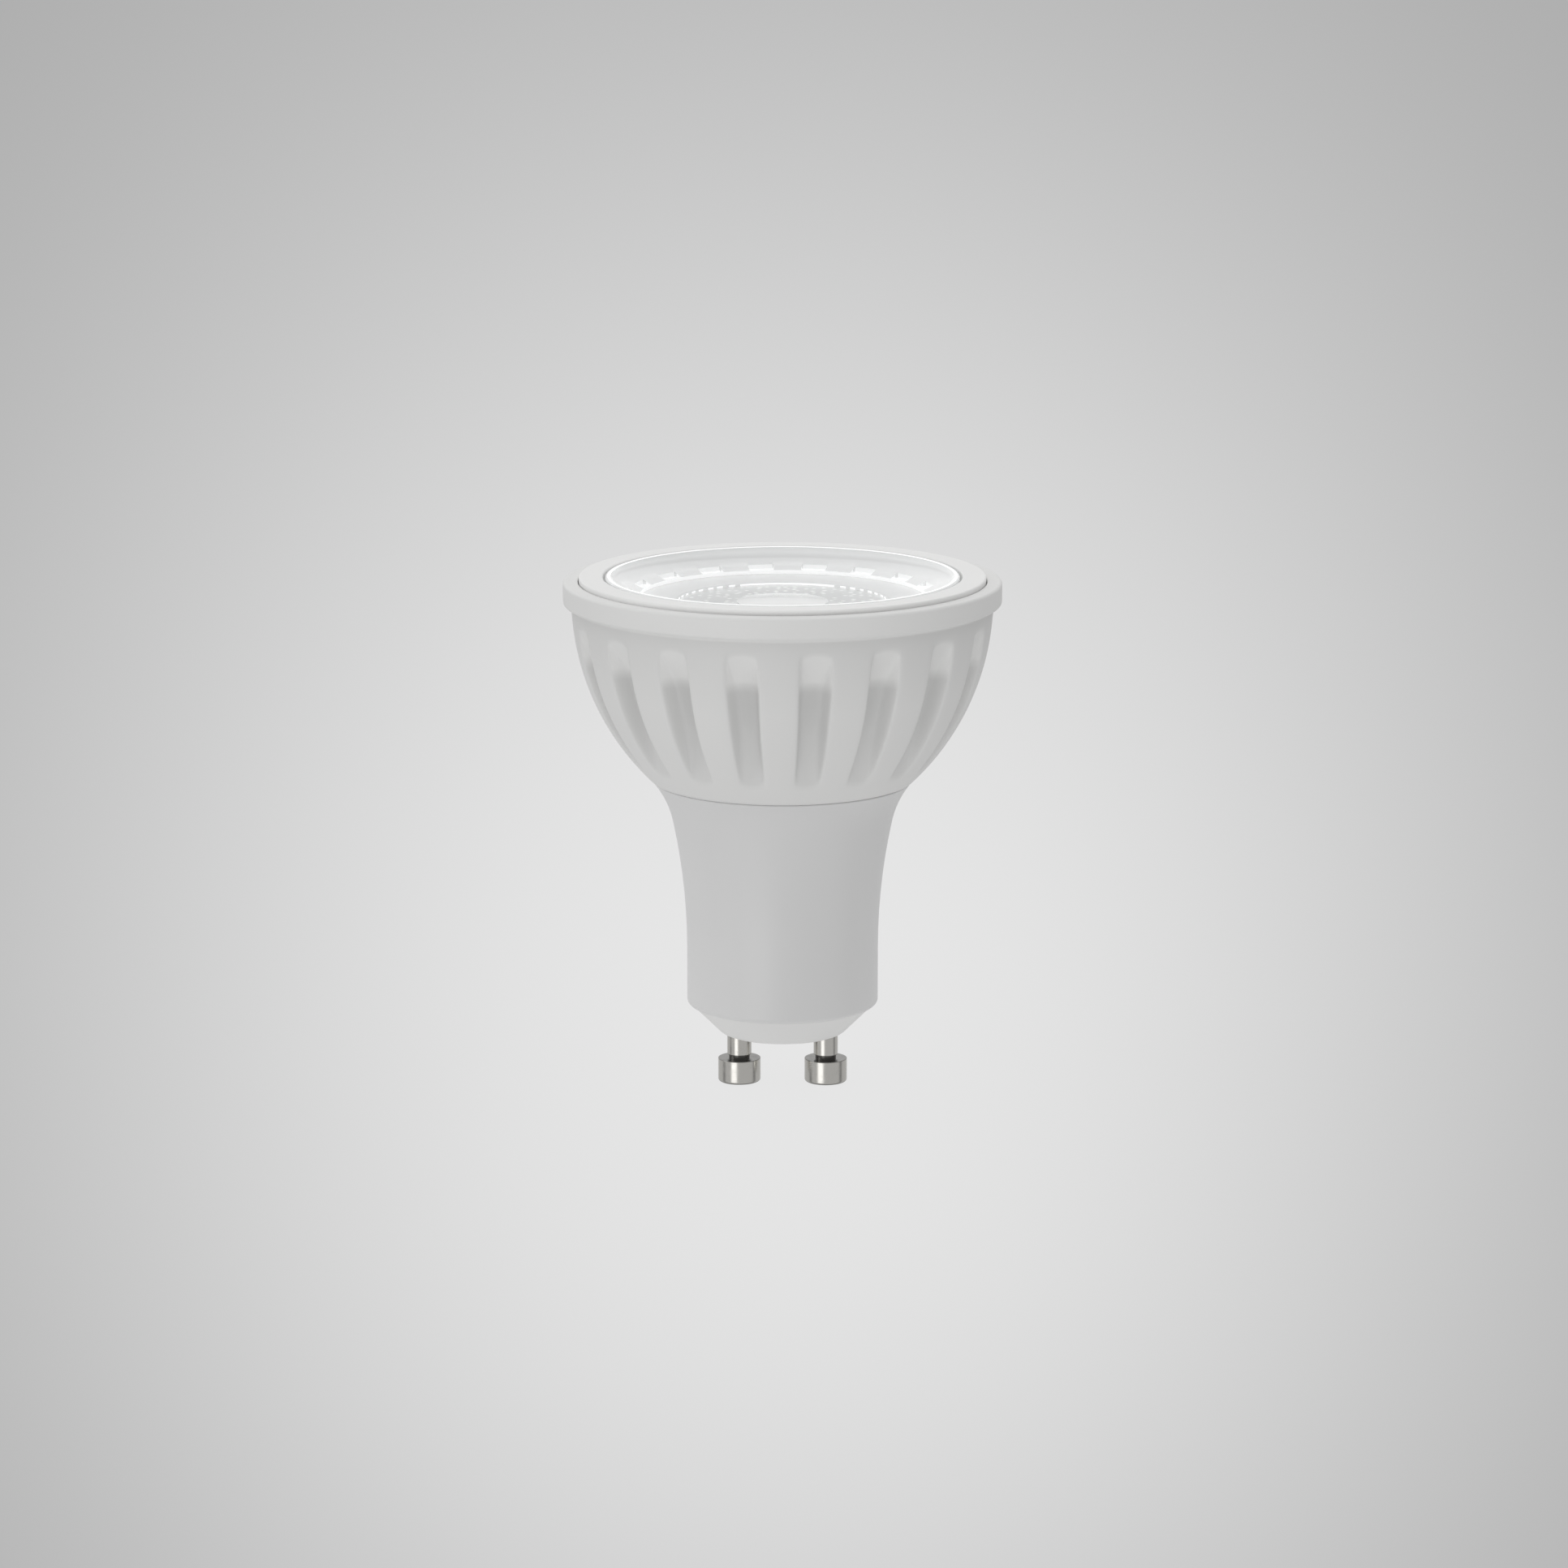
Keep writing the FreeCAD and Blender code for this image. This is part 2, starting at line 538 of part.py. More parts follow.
def make_flute(body):
    """One flute, cut by a loft through three level sections.

    Its floor ramps in from the top to a knee and runs straight down from there to the
    foot. The first and last section lie outside the bowl, half way on to the rim and to
    the seam, where both runs of the floor have come out of its side.
    """
    top_on = "(dims.flute_top_gap / 2)"
    foot_on = "(dims.flute_foot_height / 2)"
    top = f"({RIM_UNDER} - dims.flute_top_gap)"
    knee = f"({top} - dims.flute_ramp)"
    foot = f"({SEAM} + dims.flute_foot_height)"
    knee_x = f"({BOWL_RADIUS} - dims.flute_depth)"
    foot_x = f"({SEAM_RADIUS} + dims.flute_foot_reach)"
    top_end = f"({BOWL_RADIUS} + {top_on} * dims.flute_depth / dims.flute_ramp)"
    foot_end = f"({foot_x} - {foot_on} * ({knee_x} - {foot_x}) / ({knee} - {foot}))"
    sections = []
    for name, level, floor, width in (
            ("top", f"{top} + {top_on}", top_end, "dims.flute_width"),
            ("knee", knee, knee_x, "dims.flute_width"),
            ("foot", f"{foot} - {foot_on}", foot_end, "dims.flute_foot_width")):
        section = new_sketch(body, f"flute_{name}", "XY_Plane", level)
        draw_slot(section, floor, f"{width} / 2")
        sections.append(section)
    flute = body.newObject("PartDesign::SubtractiveLoft", "flute")
    flute.Profile = sections[0]
    flute.Sections = sections[1:]
    flute.Ruled = True
    return flute


def draw_slot(sketch, floor, half_width):
    """A slot that is open to the outside, with rounded corners at its floor."""
    mouth = "dims.rim_radius + dims.rim_overhang"
    corner = "dims.flute_corner"
    draw(sketch, [
        (mouth, half_width),
        (f"{floor} + {corner}", half_width),
        (floor, f"{half_width} - {corner}", corner),
        (floor, f"{corner} - {half_width}"),
        (f"{floor} + {corner}", f"-{half_width}", corner),
        (mouth, f"-{half_width}"),
    ])


make_heat_sink()


# Metal cup: drawn aluminium that lines the bowl and takes the heat of the light source

def make_metal_cup():
    body = new_body("metal_cup")
    outside = f"({HOLLOW_RADIUS} - dims.cup_gap)"
    inside = f"({outside} - dims.cup_wall)"
    foot = f"({HOLLOW_FOOT} - dims.cup_gap)"
    revolve(body, "cup_turning", [
        ("0", CUP_SEAT),
        (foot, CUP_SEAT),
        (outside, HOLLOW_TOP, "dims.bowl_arc - dims.bowl_wall"),
        (inside, HOLLOW_TOP),
        (foot, PAD_SEAT, "-(dims.bowl_arc - dims.bowl_wall - dims.cup_wall)"),
        ("0", PAD_SEAT),
    ])
    drill_fixings(body, CUP_SEAT, "dims.cup_floor")


def drill_fixings(body, floor, depth):
    """Holes through one layer for the wires and the board screws."""
    drill(body, f"{body.Label}_lead_holes", [(f"-{LEAD_X}", "0"), (LEAD_X, "0")],
          LEAD_HOLE, floor, depth)
    drill(body, f"{body.Label}_screw_holes", [("0", f"-{SCREW_Y}"), ("0", SCREW_Y)],
          SCREW_HOLE, floor, depth)


make_metal_cup()


# Light source: thermal pad, metal board, ceramic carrier, dam and phosphor, in a stack

def make_disc(label, radius, floor, height):
    """A flat disc with holes for the wires and the board screws."""
    body = new_body(label)
    plate(body, f"{label}_disc", lambda sketch: circle(sketch, "0", "0", radius), floor, height)
    drill_fixings(body, floor, height)


def make_light_source():
    make_disc("thermal_pad", f"{LED_BOARD_RADIUS} - dims.pad_setback", PAD_SEAT,
              "dims.pad_height")
    make_disc("led_board", LED_BOARD_RADIUS, BOARD_SEAT, "dims.led_board_height")
    half = "-dims.chip_side / 2"
    block("chip_carrier", "dims.chip_side", "dims.chip_side", "dims.chip_height",
          half, half, BOARD_TOP)
    inside = f"{DAM_RADIUS} - dims.dam_width"
    outer = rod("dam_outside", DAM_RADIUS, "dims.dam_height", "0", "0", CHIP_TOP, False)
    inner = rod("dam_inside", inside, "dims.dam_height", "0", "0", CHIP_TOP, False)
    combine("Part::Cut", "phosphor_dam", [outer, inner])
    rod("phosphor", inside, "dims.phosphor_height", "0", "0", CHIP_TOP)


make_light_source()


# Board screws: slotted screws through the metal board into the cup's floor

def make_board_screw(label, side):
    depth = "(dims.cup_floor + dims.pad_height + dims.led_board_height)"
    y = f"{side} * {SCREW_Y}"
    shank = rod(f"{label}_shank", "dims.screw_radius", depth, "0", y, CUP_SEAT, False)
    head = rod(f"{label}_head", "dims.screw_head_radius", "dims.screw_head_height",
               "0", y, BOARD_TOP, False)
    blank = doc.addObject("Part::MultiFuse", f"{label}_blank")
    blank.Shapes = [shank, head]
    slot = block(f"{label}_slot", "2 * dims.screw_head_radius", "dims.screw_slot_width",
                 "dims.screw_slot_depth", "-dims.screw_head_radius",
                 f"{y} - dims.screw_slot_width / 2",
                 f"{BOARD_TOP} + dims.screw_head_height - dims.screw_slot_depth", False)
    combine("Part::Cut", label, [blank, slot])


for label, side in (("board_screw_front", "-1"), ("board_screw_rear", "1")):
    make_board_screw(label, side)


# Lens: one clear moulding, dished in front, with a flange and a light cone behind it

def make_lens():
    body = new_body("lens")
    first_floor = f"{DISH_FOOT} - dims.outer_step"
    second_edge = f"{first_floor} - dims.face_fall"
    second_floor = f"({second_edge} - dims.inner_step)"
    eye_dome = "dims.eye_height / 2"
    revolve(body, "lens_turning", [
        ("0", f"{LENS_FOOT} + dims.well_height - dims.well_dome"),
        (WELL_ROOF_RADIUS, f"{LENS_FOOT} + dims.well_height",
         dome_arc(WELL_ROOF_RADIUS, "dims.well_dome")),
        (WELL_RADIUS, LENS_FOOT),
        (f"{WELL_RADIUS} + dims.cone_foot_width", LENS_FOOT),
        (f"{LENS_RADIUS} - dims.cone_setback", LENS_SEAT, "dims.cone_arc"),
        (FLANGE_RADIUS, LENS_SEAT),
        (FLANGE_RADIUS, FLANGE_TOP),
        (LENS_RADIUS, FLANGE_TOP),
        (LENS_RADIUS, f"{RING_TOP} - dims.lens_round"),
        (f"{LENS_RADIUS} - dims.lens_round", RING_TOP, "dims.lens_round"),
        (LIP_RADIUS, RING_TOP),
        (DISH_RADIUS, DISH_FOOT, "-dims.dish_arc"),
        (DISH_RADIUS, first_floor),
        (STEP_RADIUS, second_edge),
        (STEP_RADIUS, second_floor),
        ("dims.eye_radius", second_floor),
        ("dims.eye_radius", f"{second_floor} + dims.eye_height - {eye_dome}"),
        ("0", f"{second_floor} + dims.eye_height", dome_arc("dims.eye_radius", eye_dome)),
    ])
    sketch = new_sketch(body, "notch_outline", "XY_Plane", DISH_FOOT)
    rectangle(sketch, STEP_RADIUS, f"{DISH_RADIUS} + dims.notch_depth",
              "-dims.notch_width / 2", "dims.notch_width / 2")
    notch = body.newObject("PartDesign::Pocket", "notch")
    notch.Profile = sketch
    notch.Reversed = True
    bind(notch, Length="dims.dish_depth")
    ring_of(body, notch, "notches", "dims.notch_count")


make_lens()


# Front ring: a moulded ring that drops into the rim and holds the lens by its flange

def make_front_ring():
    body = new_body("front_ring")
    under = f"{FLANGE_TOP} + dims.lens_fit / 2"
    revolve(body, "ring_turning", [
        (FLANGE_POCKET, RING_SEAT),
        (RING_RADIUS, RING_SEAT),
        (RING_RADIUS, f"{RING_TOP} - dims.ring_round"),
        (f"{RING_RADIUS} - dims.ring_round", RING_TOP, "dims.ring_round"),
        (f"{RING_BORE} + dims.ring_round", RING_TOP),
        (RING_BORE, f"{RING_TOP} - dims.ring_round", "dims.ring_round"),
        (RING_BORE, under),
        (FLANGE_POCKET, under),
    ])


make_front_ring()


# Driver board: upright in the neck, its foot on the end cap's collar

block("driver_board", f"2 * {BOARD_SIDE}", "dims.driver_thickness", f"{DRIVER_TOP} - {CAP_TOP}",
      f"-{BOARD_SIDE}", BOARD_BACK, CAP_TOP)


# Wires: stiff ones from the pins, softer ones up to the light source

for label, side in (("pin_lead_left", "-1"), ("pin_lead_right", "1")):
    rod(label, "dims.pin_lead_radius", f"{CAP_TOP} + dims.pin_lead_lap - {PIN_TOP}",
        f"{side} * {PIN_X}", "0", PIN_TOP)

for label, side in (("led_lead_left", "-1"), ("led_lead_right", "1")):
    rod(label, "dims.lead_radius",
        f"{BOARD_TOP} + dims.lead_proud - {DRIVER_TOP} + dims.lead_lap",
        f"{side} * {LEAD_X}", f"{BOARD_FACE} + dims.lead_radius",
        f"{DRIVER_TOP} - dims.lead_lap")


# Parts on the front of the driver board: fuse, transformer and smoothing capacitor

def make_transformer():
    """A framed core with its winding through the window."""
    front = f"{BOARD_FACE} + dims.winding_depth / 2 - dims.core_depth / 2"
    frame = block("core_frame", "dims.core_width", "dims.core_depth", "dims.core_height",
                  "-dims.core_width / 2", front, CORE_FOOT, False)
    gap = "dims.winding_gap"
    inside = "dims.core_height - 2 * dims.core_yoke"
    window = block("core_window", f"dims.winding_width + 2 * {gap}", "dims.core_depth",
                   inside, f"-dims.winding_width / 2 - {gap}", front,
                   f"{CORE_FOOT} + dims.core_yoke", False)
    combine("Part::Cut", "transformer_core", [frame, window])
    block("transformer_winding", "dims.winding_width", "dims.winding_depth", inside,
          "-dims.winding_width / 2", BOARD_FACE, f"{CORE_FOOT} + dims.core_yoke")


def make_smoothing_capacitor():
    """A can with a rolled groove near its foot, as long as the room above the transformer."""
    body = new_body("smoothing_capacitor")
    groove = "dims.smoothing_groove"
    revolve(body, "can_turning", [
        ("0", SMOOTHING_FOOT),
        ("dims.smoothing_radius", SMOOTHING_FOOT),
        ("dims.smoothing_radius", f"{SMOOTHING_FOOT} + 3 * {groove}"),
        (f"dims.smoothing_radius - {groove}", f"{SMOOTHING_FOOT} + 4 * {groove}"),
        ("dims.smoothing_radius", f"{SMOOTHING_FOOT} + 5 * {groove}"),
        ("dims.smoothing_radius", SMOOTHING_TOP),
        ("0", SMOOTHING_TOP),
    ])
    bind(body, Placement__Base__y=f"{BOARD_FACE} + dims.smoothing_radius")


def make_fuse_resistor():
    """A round body that lies across the board."""
    body = new_body("fuse_resistor")
    sketch = new_sketch(body, "fuse_section", "YZ_Plane", "-dims.fuse_length / 2")
    circle(sketch, f"{BOARD_FACE} + dims.fuse_radius", FUSE_LEVEL, "dims.fuse_radius")
    pad = body.newObject("PartDesign::Pad", "fuse_body")
    pad.Profile = sketch
    bind(pad, Length="dims.fuse_length")


make_transformer()
make_smoothing_capacitor()
make_fuse_resistor()


# Parts on the back of the driver board: film capacitor, bridge rectifier, driver chip

for label, name, foot in (
        ("bridge_rectifier", "bridge", f"{CAP_TOP} + dims.bridge_lift"),
        ("film_capacitor", "film", f"({CAP_TOP} + {DRIVER_TOP} - dims.film_height) / 2"),
        ("driver_chip", "driver_chip",
         f"{DRIVER_TOP} - dims.driver_chip_drop - dims.driver_chip_height")):
    block(label, f"dims.{name}_width", f"dims.{name}_depth", f"dims.{name}_height",
          f"-dims.{name}_width / 2", f"{BOARD_BACK} - dims.{name}_depth", foot)


# Each object and shape is checked before anything is written

doc.recompute()
for item in doc.Objects:
    if "Invalid" in item.State or "Error" in item.State:
        raise RuntimeError(f"{item.Label} failed: {item.State}")
for piece in pieces:
    if piece.Shape.isNull() or not piece.Shape.isValid():
        raise RuntimeError(f"{piece.Label} has no valid shape")

os.makedirs("parts", exist_ok=True)
for piece in pieces:
    piece.Shape.exportStep(f"parts/{piece.Label}.step")
    print(piece.Label, len(piece.Shape.Solids), round(piece.Shape.Volume, 2))
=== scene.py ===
import json
import math

import bmesh
import bpy
import numpy as np
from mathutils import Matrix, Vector


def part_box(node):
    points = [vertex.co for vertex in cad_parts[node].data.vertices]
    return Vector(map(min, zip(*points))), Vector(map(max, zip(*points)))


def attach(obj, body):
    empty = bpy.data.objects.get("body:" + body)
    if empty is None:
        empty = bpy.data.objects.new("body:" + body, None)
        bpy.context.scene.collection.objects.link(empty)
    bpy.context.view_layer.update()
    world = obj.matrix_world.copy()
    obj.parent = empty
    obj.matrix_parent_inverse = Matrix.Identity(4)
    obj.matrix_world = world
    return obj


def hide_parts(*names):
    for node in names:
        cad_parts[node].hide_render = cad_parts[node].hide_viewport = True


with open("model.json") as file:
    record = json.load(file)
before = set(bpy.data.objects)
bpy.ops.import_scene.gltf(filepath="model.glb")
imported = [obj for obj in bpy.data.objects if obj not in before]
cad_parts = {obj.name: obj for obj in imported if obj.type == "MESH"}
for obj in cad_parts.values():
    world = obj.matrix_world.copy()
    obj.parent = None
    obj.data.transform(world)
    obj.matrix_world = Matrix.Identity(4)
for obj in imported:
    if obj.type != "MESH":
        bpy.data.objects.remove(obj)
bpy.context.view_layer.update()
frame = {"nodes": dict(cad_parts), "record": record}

# The studio: the bulb stands on a light table that fades to the sides and to the back. One
# low lamp is far on the left, and a flat one before the bulb shines up at it. The pale walls
# and ceiling fill in the rest. The camera is a long lens, 12.5 degrees above the table.

view_turn = math.radians(1.0)
view_rise = math.radians(12.488)
view_distance = 0.650
view_pivot = 0.028
aim = Vector((0.00017, 0.0, 0.0351))


def to_linear(code):
    """An sRGB hex colour as linear red, green, blue and 1 for alpha."""
    values = [int(code[i:i + 2], 16) / 255 for i in (1, 3, 5)]
    linear = [v / 12.92 if v <= 0.04045 else ((v + 0.055) / 1.055) ** 2.4 for v in values]
    return linear + [1.0]


def add_node(tree, kind, inputs=None, **settings):
    """Add a node, set its properties, and give each named input a value or a link."""
    node = tree.nodes.new(kind)
    for key, value in settings.items():
        setattr(node, key, value)
    for key, value in (inputs or {}).items():
        if isinstance(value, bpy.types.NodeSocket):
            tree.links.new(value, node.inputs[key])
        else:
            node.inputs[key].default_value = value
    return node


def new_material(name):
    """An empty node material, its tree and the Object coordinates in it."""
    material = bpy.data.materials.new(name)
    material.use_nodes = True
    tree = material.node_tree
    tree.nodes.clear()
    return material, tree, add_node(tree, "ShaderNodeTexCoord").outputs["Object"]


def show(tree, shader):
    """Send a shader to the material's surface."""
    add_node(tree, "ShaderNodeOutputMaterial", {"Surface": shader})


camera = bpy.data.objects.new("camera", bpy.data.cameras.new("camera"))
bpy.context.collection.objects.link(camera)
bpy.context.scene.camera = camera
camera.data.lens = 129.8
camera.data.sensor_width = 36.0
camera.data.clip_start = 0.05
camera.location = (view_distance * math.cos(view_rise) * math.sin(view_turn),
                   -view_distance * math.cos(view_rise) * math.cos(view_turn),
                   view_pivot + view_distance * math.sin(view_rise))
camera.rotation_euler = (aim - camera.location).to_track_quat("-Z", "Y").to_euler()


def soft_lamp(name, place, facing, width, height, watts):
    """A rectangular lamp that shines along facing, and isn't seen itself."""
    lamp = bpy.data.objects.new(name, bpy.data.lights.new(name, "AREA"))
    lamp.data.shape = "RECTANGLE"
    lamp.data.size = width
    lamp.data.size_y = height
    lamp.data.energy = watts
    lamp.location = place
    lamp.rotation_euler = facing.to_track_quat("-Z", "Y").to_euler()
    lamp.visible_camera = False
    bpy.context.collection.objects.link(lamp)


soft_lamp("left_lamp", place=Vector((-1.0, -0.15, 0.10)), facing=Vector((1.0, 0.15, -0.06)),
          width=0.5, height=0.4, watts=1.5)
soft_lamp("front_lamp", place=Vector((0.0, -0.42, 0.004)), facing=Vector((0.0, 0.0, 1.0)),
          width=1.2, height=0.4, watts=3.2)

world = bpy.data.worlds.new("studio")
bpy.context.scene.world = world
world.use_nodes = True


def studio_walls(tree):
    """Light from the walls and the ceiling, by direction.

    Above the horizon the left wall is paler than the right one, a backdrop adds light behind
    the bulb, and a white ceiling from above. Below it, where almost only the pins mirror the
    room, there are a window at the front left, a pale back wall and dark drapes at both
    sides.
    """
    tree.nodes.clear()
    way = add_node(tree, "ShaderNodeTexCoord").outputs["Generated"]
    apart = add_node(tree, "ShaderNodeSeparateXYZ", {"Vector": way})
    left = add_node(tree, "ShaderNodeMapRange",
                    {"Value": apart.outputs["X"], "From Min": -1.0, "From Max": 1.0,
                     "To Min": 0.64, "To Max": 0.46})
    backdrop = add_node(tree, "ShaderNodeMapRange",
                        {"Value": apart.outputs["Y"], "From Min": 0.3, "From Max": 0.9,
                         "To Min": 0.0, "To Max": 0.55}, interpolation_type="SMOOTHSTEP")
    ceiling = add_node(tree, "ShaderNodeMapRange",
                       {"Value": apart.outputs["Z"], "From Min": 0.35, "From Max": 0.95,
                        "To Min": 0.0, "To Max": 0.74}, interpolation_type="SMOOTHSTEP")
    walls = add_node(tree, "ShaderNodeMath", {0: left.outputs[0], 1: backdrop.outputs[0]},
                     operation="ADD")
    above = add_node(tree, "ShaderNodeMath", {0: walls.outputs[0], 1: ceiling.outputs[0]},
                     operation="ADD")
    to_window = Vector((-0.46, -0.87, -0.20))
    toward = add_node(tree, "ShaderNodeVectorMath", {0: way, 1: to_window},
                      operation="DOT_PRODUCT")
    window = add_node(tree, "ShaderNodeMapRange",
                      {"Value": toward.outputs["Value"], "From Min": 0.950, "From Max": 0.985,
                       "To Min": 0.64, "To Max": 2.0}, interpolation_type="SMOOTHSTEP")
    back = add_node(tree, "ShaderNodeMapRange",
                    {"Value": apart.outputs["Y"], "From Min": 0.3, "From Max": 0.9,
                     "To Min": 0.0, "To Max": 0.75}, interpolation_type="SMOOTHSTEP")
    ahead = add_node(tree, "ShaderNodeMath", {0: apart.outputs["Y"]}, operation="ABSOLUTE")
    drape = add_node(tree, "ShaderNodeMapRange",
                     {"Value": ahead.outputs[0], "From Min": 0.05, "From Max": 0.25,
                      "To Min": 0.45, "To Max": 1.0}, interpolation_type="SMOOTHSTEP")
    bright = add_node(tree, "ShaderNodeMath", {0: window.outputs[0], 1: back.outputs[0]},
                      operation="MAXIMUM")
    below = add_node(tree, "ShaderNodeMath", {0: bright.outputs[0], 1: drape.outputs[0]},
                     operation="MULTIPLY")
    high = add_node(tree, "ShaderNodeMapRange",
                    {"Value": apart.outputs["Z"], "From Min": -0.05, "From Max": 0.05},
                    interpolation_type="SMOOTHSTEP")
    both = add_node(tree, "ShaderNodeMix",
                    {"Factor": high.outputs[0], "A": below.outputs[0], "B": above.outputs[0]})
    light = add_node(tree, "ShaderNodeBackground", {"Strength": both.outputs["Result"]})
    add_node(tree, "ShaderNodeOutputWorld", {"Surface": light.outputs[0]})


studio_walls(world.node_tree)
bpy.context.scene.view_settings.view_transform = "Standard"
bpy.context.scene.cycles.max_bounces = 14
bpy.context.scene.cycles.diffuse_bounces = 6
bpy.context.scene.cycles.glossy_bounces = 6
bpy.context.scene.cycles.transmission_bounces = 10

floor_half = 6.0
floor_mesh = bpy.data.meshes.new("light_table")
floor_mesh.from_pydata([(-floor_half, -floor_half, 0), (floor_half, -floor_half, 0),
                        (floor_half, floor_half, 0), (-floor_half, floor_half, 0)],
                       [], [(0, 1, 2, 3)])
floor = bpy.data.objects.new("light_table", floor_mesh)
bpy.context.collection.objects.link(floor)
floor.visible_glossy = False


def light_table():
    """Opal acrylic lit from below, which hides its lamps: one pale field without a shadow.

    The glow fades along an oval that widens away from the camera's place at rest. A point's
    bearing is its x over its depth from there, and its dip is that place's height over the
    depth. With d the distance from the oval's middle in bearing and dip, each over its half
    width, the glow is 0.35 + 0.42 exp(-d ** 2.18).
    """
    middle_bearing, middle_dip = -0.0177, 0.250
    half_bearing, half_dip = 0.150, 0.176
    material, tree, place = new_material("opal_acrylic")
    from_foot = add_node(tree, "ShaderNodeVectorMath", {0: place, 1: camera.location},
                         operation="SUBTRACT")
    apart = add_node(tree, "ShaderNodeSeparateXYZ", {"Vector": from_foot.outputs[0]})
    bearing = add_node(tree, "ShaderNodeMath",
                       {0: apart.outputs["X"], 1: apart.outputs["Y"]}, operation="DIVIDE")
    dip = add_node(tree, "ShaderNodeMath",
                   {0: camera.location.z, 1: apart.outputs["Y"]}, operation="DIVIDE")
    oval = add_node(tree, "ShaderNodeCombineXYZ",
                    {"X": bearing.outputs[0], "Y": dip.outputs[0]})
    from_middle = add_node(tree, "ShaderNodeMapping",
                           {"Vector": oval.outputs[0],
                            "Location": (-middle_bearing / half_bearing,
                                         -middle_dip / half_dip, 0),
                            "Scale": (1 / half_bearing, 1 / half_dip, 0)},
                           vector_type="POINT")
    away = add_node(tree, "ShaderNodeVectorMath", {0: from_middle.outputs[0]},
                    operation="LENGTH")
    steeper = add_node(tree, "ShaderNodeMath", {0: away.outputs["Value"], 1: 2.18},
                       operation="POWER")
    fade = add_node(tree, "ShaderNodeMath", {0: math.exp(-1), 1: steeper.outputs[0]},
                    operation="POWER")
    strength = add_node(tree, "ShaderNodeMath",
                        {0: fade.outputs[0], 1: 0.42, 2: 0.35}, operation="MULTIPLY_ADD")
    glow = add_node(tree, "ShaderNodeEmission", {"Strength": strength.outputs[0]})
    sheet = add_node(tree, "ShaderNodeBsdfDiffuse", {"Color": to_linear("#303030")})
    both = add_node(tree, "ShaderNodeAddShader", {0: glow.outputs[0], 1: sheet.outputs[0]})
    show(tree, both.outputs[0])
    return material


floor_mesh.materials.append(light_table())

# The end cap: the cone of 45 degrees at the foot of the bulb, a white plug that holds both
# pins. Its collar is glued into the neck. Satin PBT: soft wide highlights, and a shade
# lighter than the neck. The hairline between pieces keeps their faces from coinciding.

mm = 0.001
whole_turn = 2 * math.pi


def arc(start, end, radius):
    """Points after start and up to end on the circle of this radius through both.

    A positive radius turns left on the way, a negative one right. The points are the
    centre plus the start's spoke turned in equal steps, of at most 15 degrees and so small
    that no chord is more than 0.01 mm off the arc.
    """
    start, end = np.array(start, float), np.array(end, float)
    chord = end - start
    length = np.hypot(*chord)
    rise = math.sqrt(max(radius ** 2 - (length / 2) ** 2, 0.0))
    left = np.array([-chord[1], chord[0]]) / length
    centre = (start + end) / 2 + left * math.copysign(rise, radius)
    swing = 2 * math.asin(min(1.0, length / 2 / abs(radius))) * math.copysign(1, radius)
    step = 2 * math.acos(max(0.5, 1 - 0.01 * mm / abs(radius)))
    steps = max(3, math.ceil(abs(swing) / min(step, math.radians(15))))
    turn = swing * np.arange(1, steps + 1) / steps
    spoke = start - centre
    return centre + np.stack([spoke[0] * np.cos(turn) - spoke[1] * np.sin(turn),
                              spoke[0] * np.sin(turn) + spoke[1] * np.cos(turn)], axis=1)


def straight(start, end, after_arc, before_arc):
    """Points after start and up to end on a line, with one close to an arc at either end.

    The close ones keep the shading of the arc from spreading along the face.
    """
    start, end = np.array(start, float), np.array(end, float)
    length = np.hypot(*(end - start))
    near = 0.06 * mm / length
    shares = [near] * after_arc + [1 - near] * before_arc + [1.0]
    return start + np.outer(shares if near < 0.3 else [1.0], end - start)


def outline(corners, closed=True):
    """A profile through corners (r, z) or (r, z, radius of the arc that arrives there)."""
    first = corners[0]
    runs = [] if closed else [np.array([first[:2]])]
    ends = corners[1:] + ([first] if closed else [])
    for i, (before, after) in enumerate(zip(corners, ends)):
        follow = ends[i + 1] if i + 1 < len(ends) else ()
        if len(after) == 3:
            runs.append(arc(before[:2], after[:2], after[2]))
        else:
            runs.append(straight(before[:2], after[:2], len(before) == 3, len(follow) == 3))
    return np.concatenate(runs)


def around(profile, angles):
    """The grid profile x angles: point (r cos a, r sin a, z) for each pair."""
    spokes = np.stack([np.cos(angles), np.sin(angles)], axis=1)
    flat = profile[:, None, :1] * spokes[None]
    height = np.broadcast_to(profile[:, None, 1:], flat.shape[:2] + (1,))
    return np.concatenate([flat, height], axis=2)


def skin(name, grid, ring):
    """A mesh over a grid of points whose columns close on themselves.

    With ring the rows close as well, as on a washer. Without it the first and last row
    lie on the axis, and each is merged into one point.
    """
    rows, columns = grid.shape[:2]
    row = np.arange(rows if ring else rows - 1)[:, None]
    column = np.arange(columns)[None]
    above, beside = (row + 1) % rows, (column + 1) % columns
    corners = [row * columns + column, row * columns + beside,
               above * columns + beside, above * columns + column]
    faces = np.stack(np.broadcast_arrays(*corners), axis=-1).reshape(-1, 4)
    mesh = bpy.data.meshes.new(name)
    mesh.from_pydata(grid.reshape(-1, 3), [], faces.tolist())
    work = bmesh.new()
    work.from_mesh(mesh)
    bmesh.ops.remove_doubles(work, verts=work.verts, dist=1e-7)
    work.to_mesh(mesh)
    work.free()
    mesh.polygons.foreach_set("use_smooth", np.ones(len(mesh.polygons), bool))
    mesh.set_sharp_from_angle(angle=math.radians(50))
    piece = bpy.data.objects.new(name, mesh)
    bpy.context.collection.objects.link(piece)
    return piece


def settle(piece, material, slot, *nodes):
    """Give a piece its material, and put it in the place of its solids."""
    piece.data.materials.append(material)
    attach(piece, "root")
    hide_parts(*nodes)


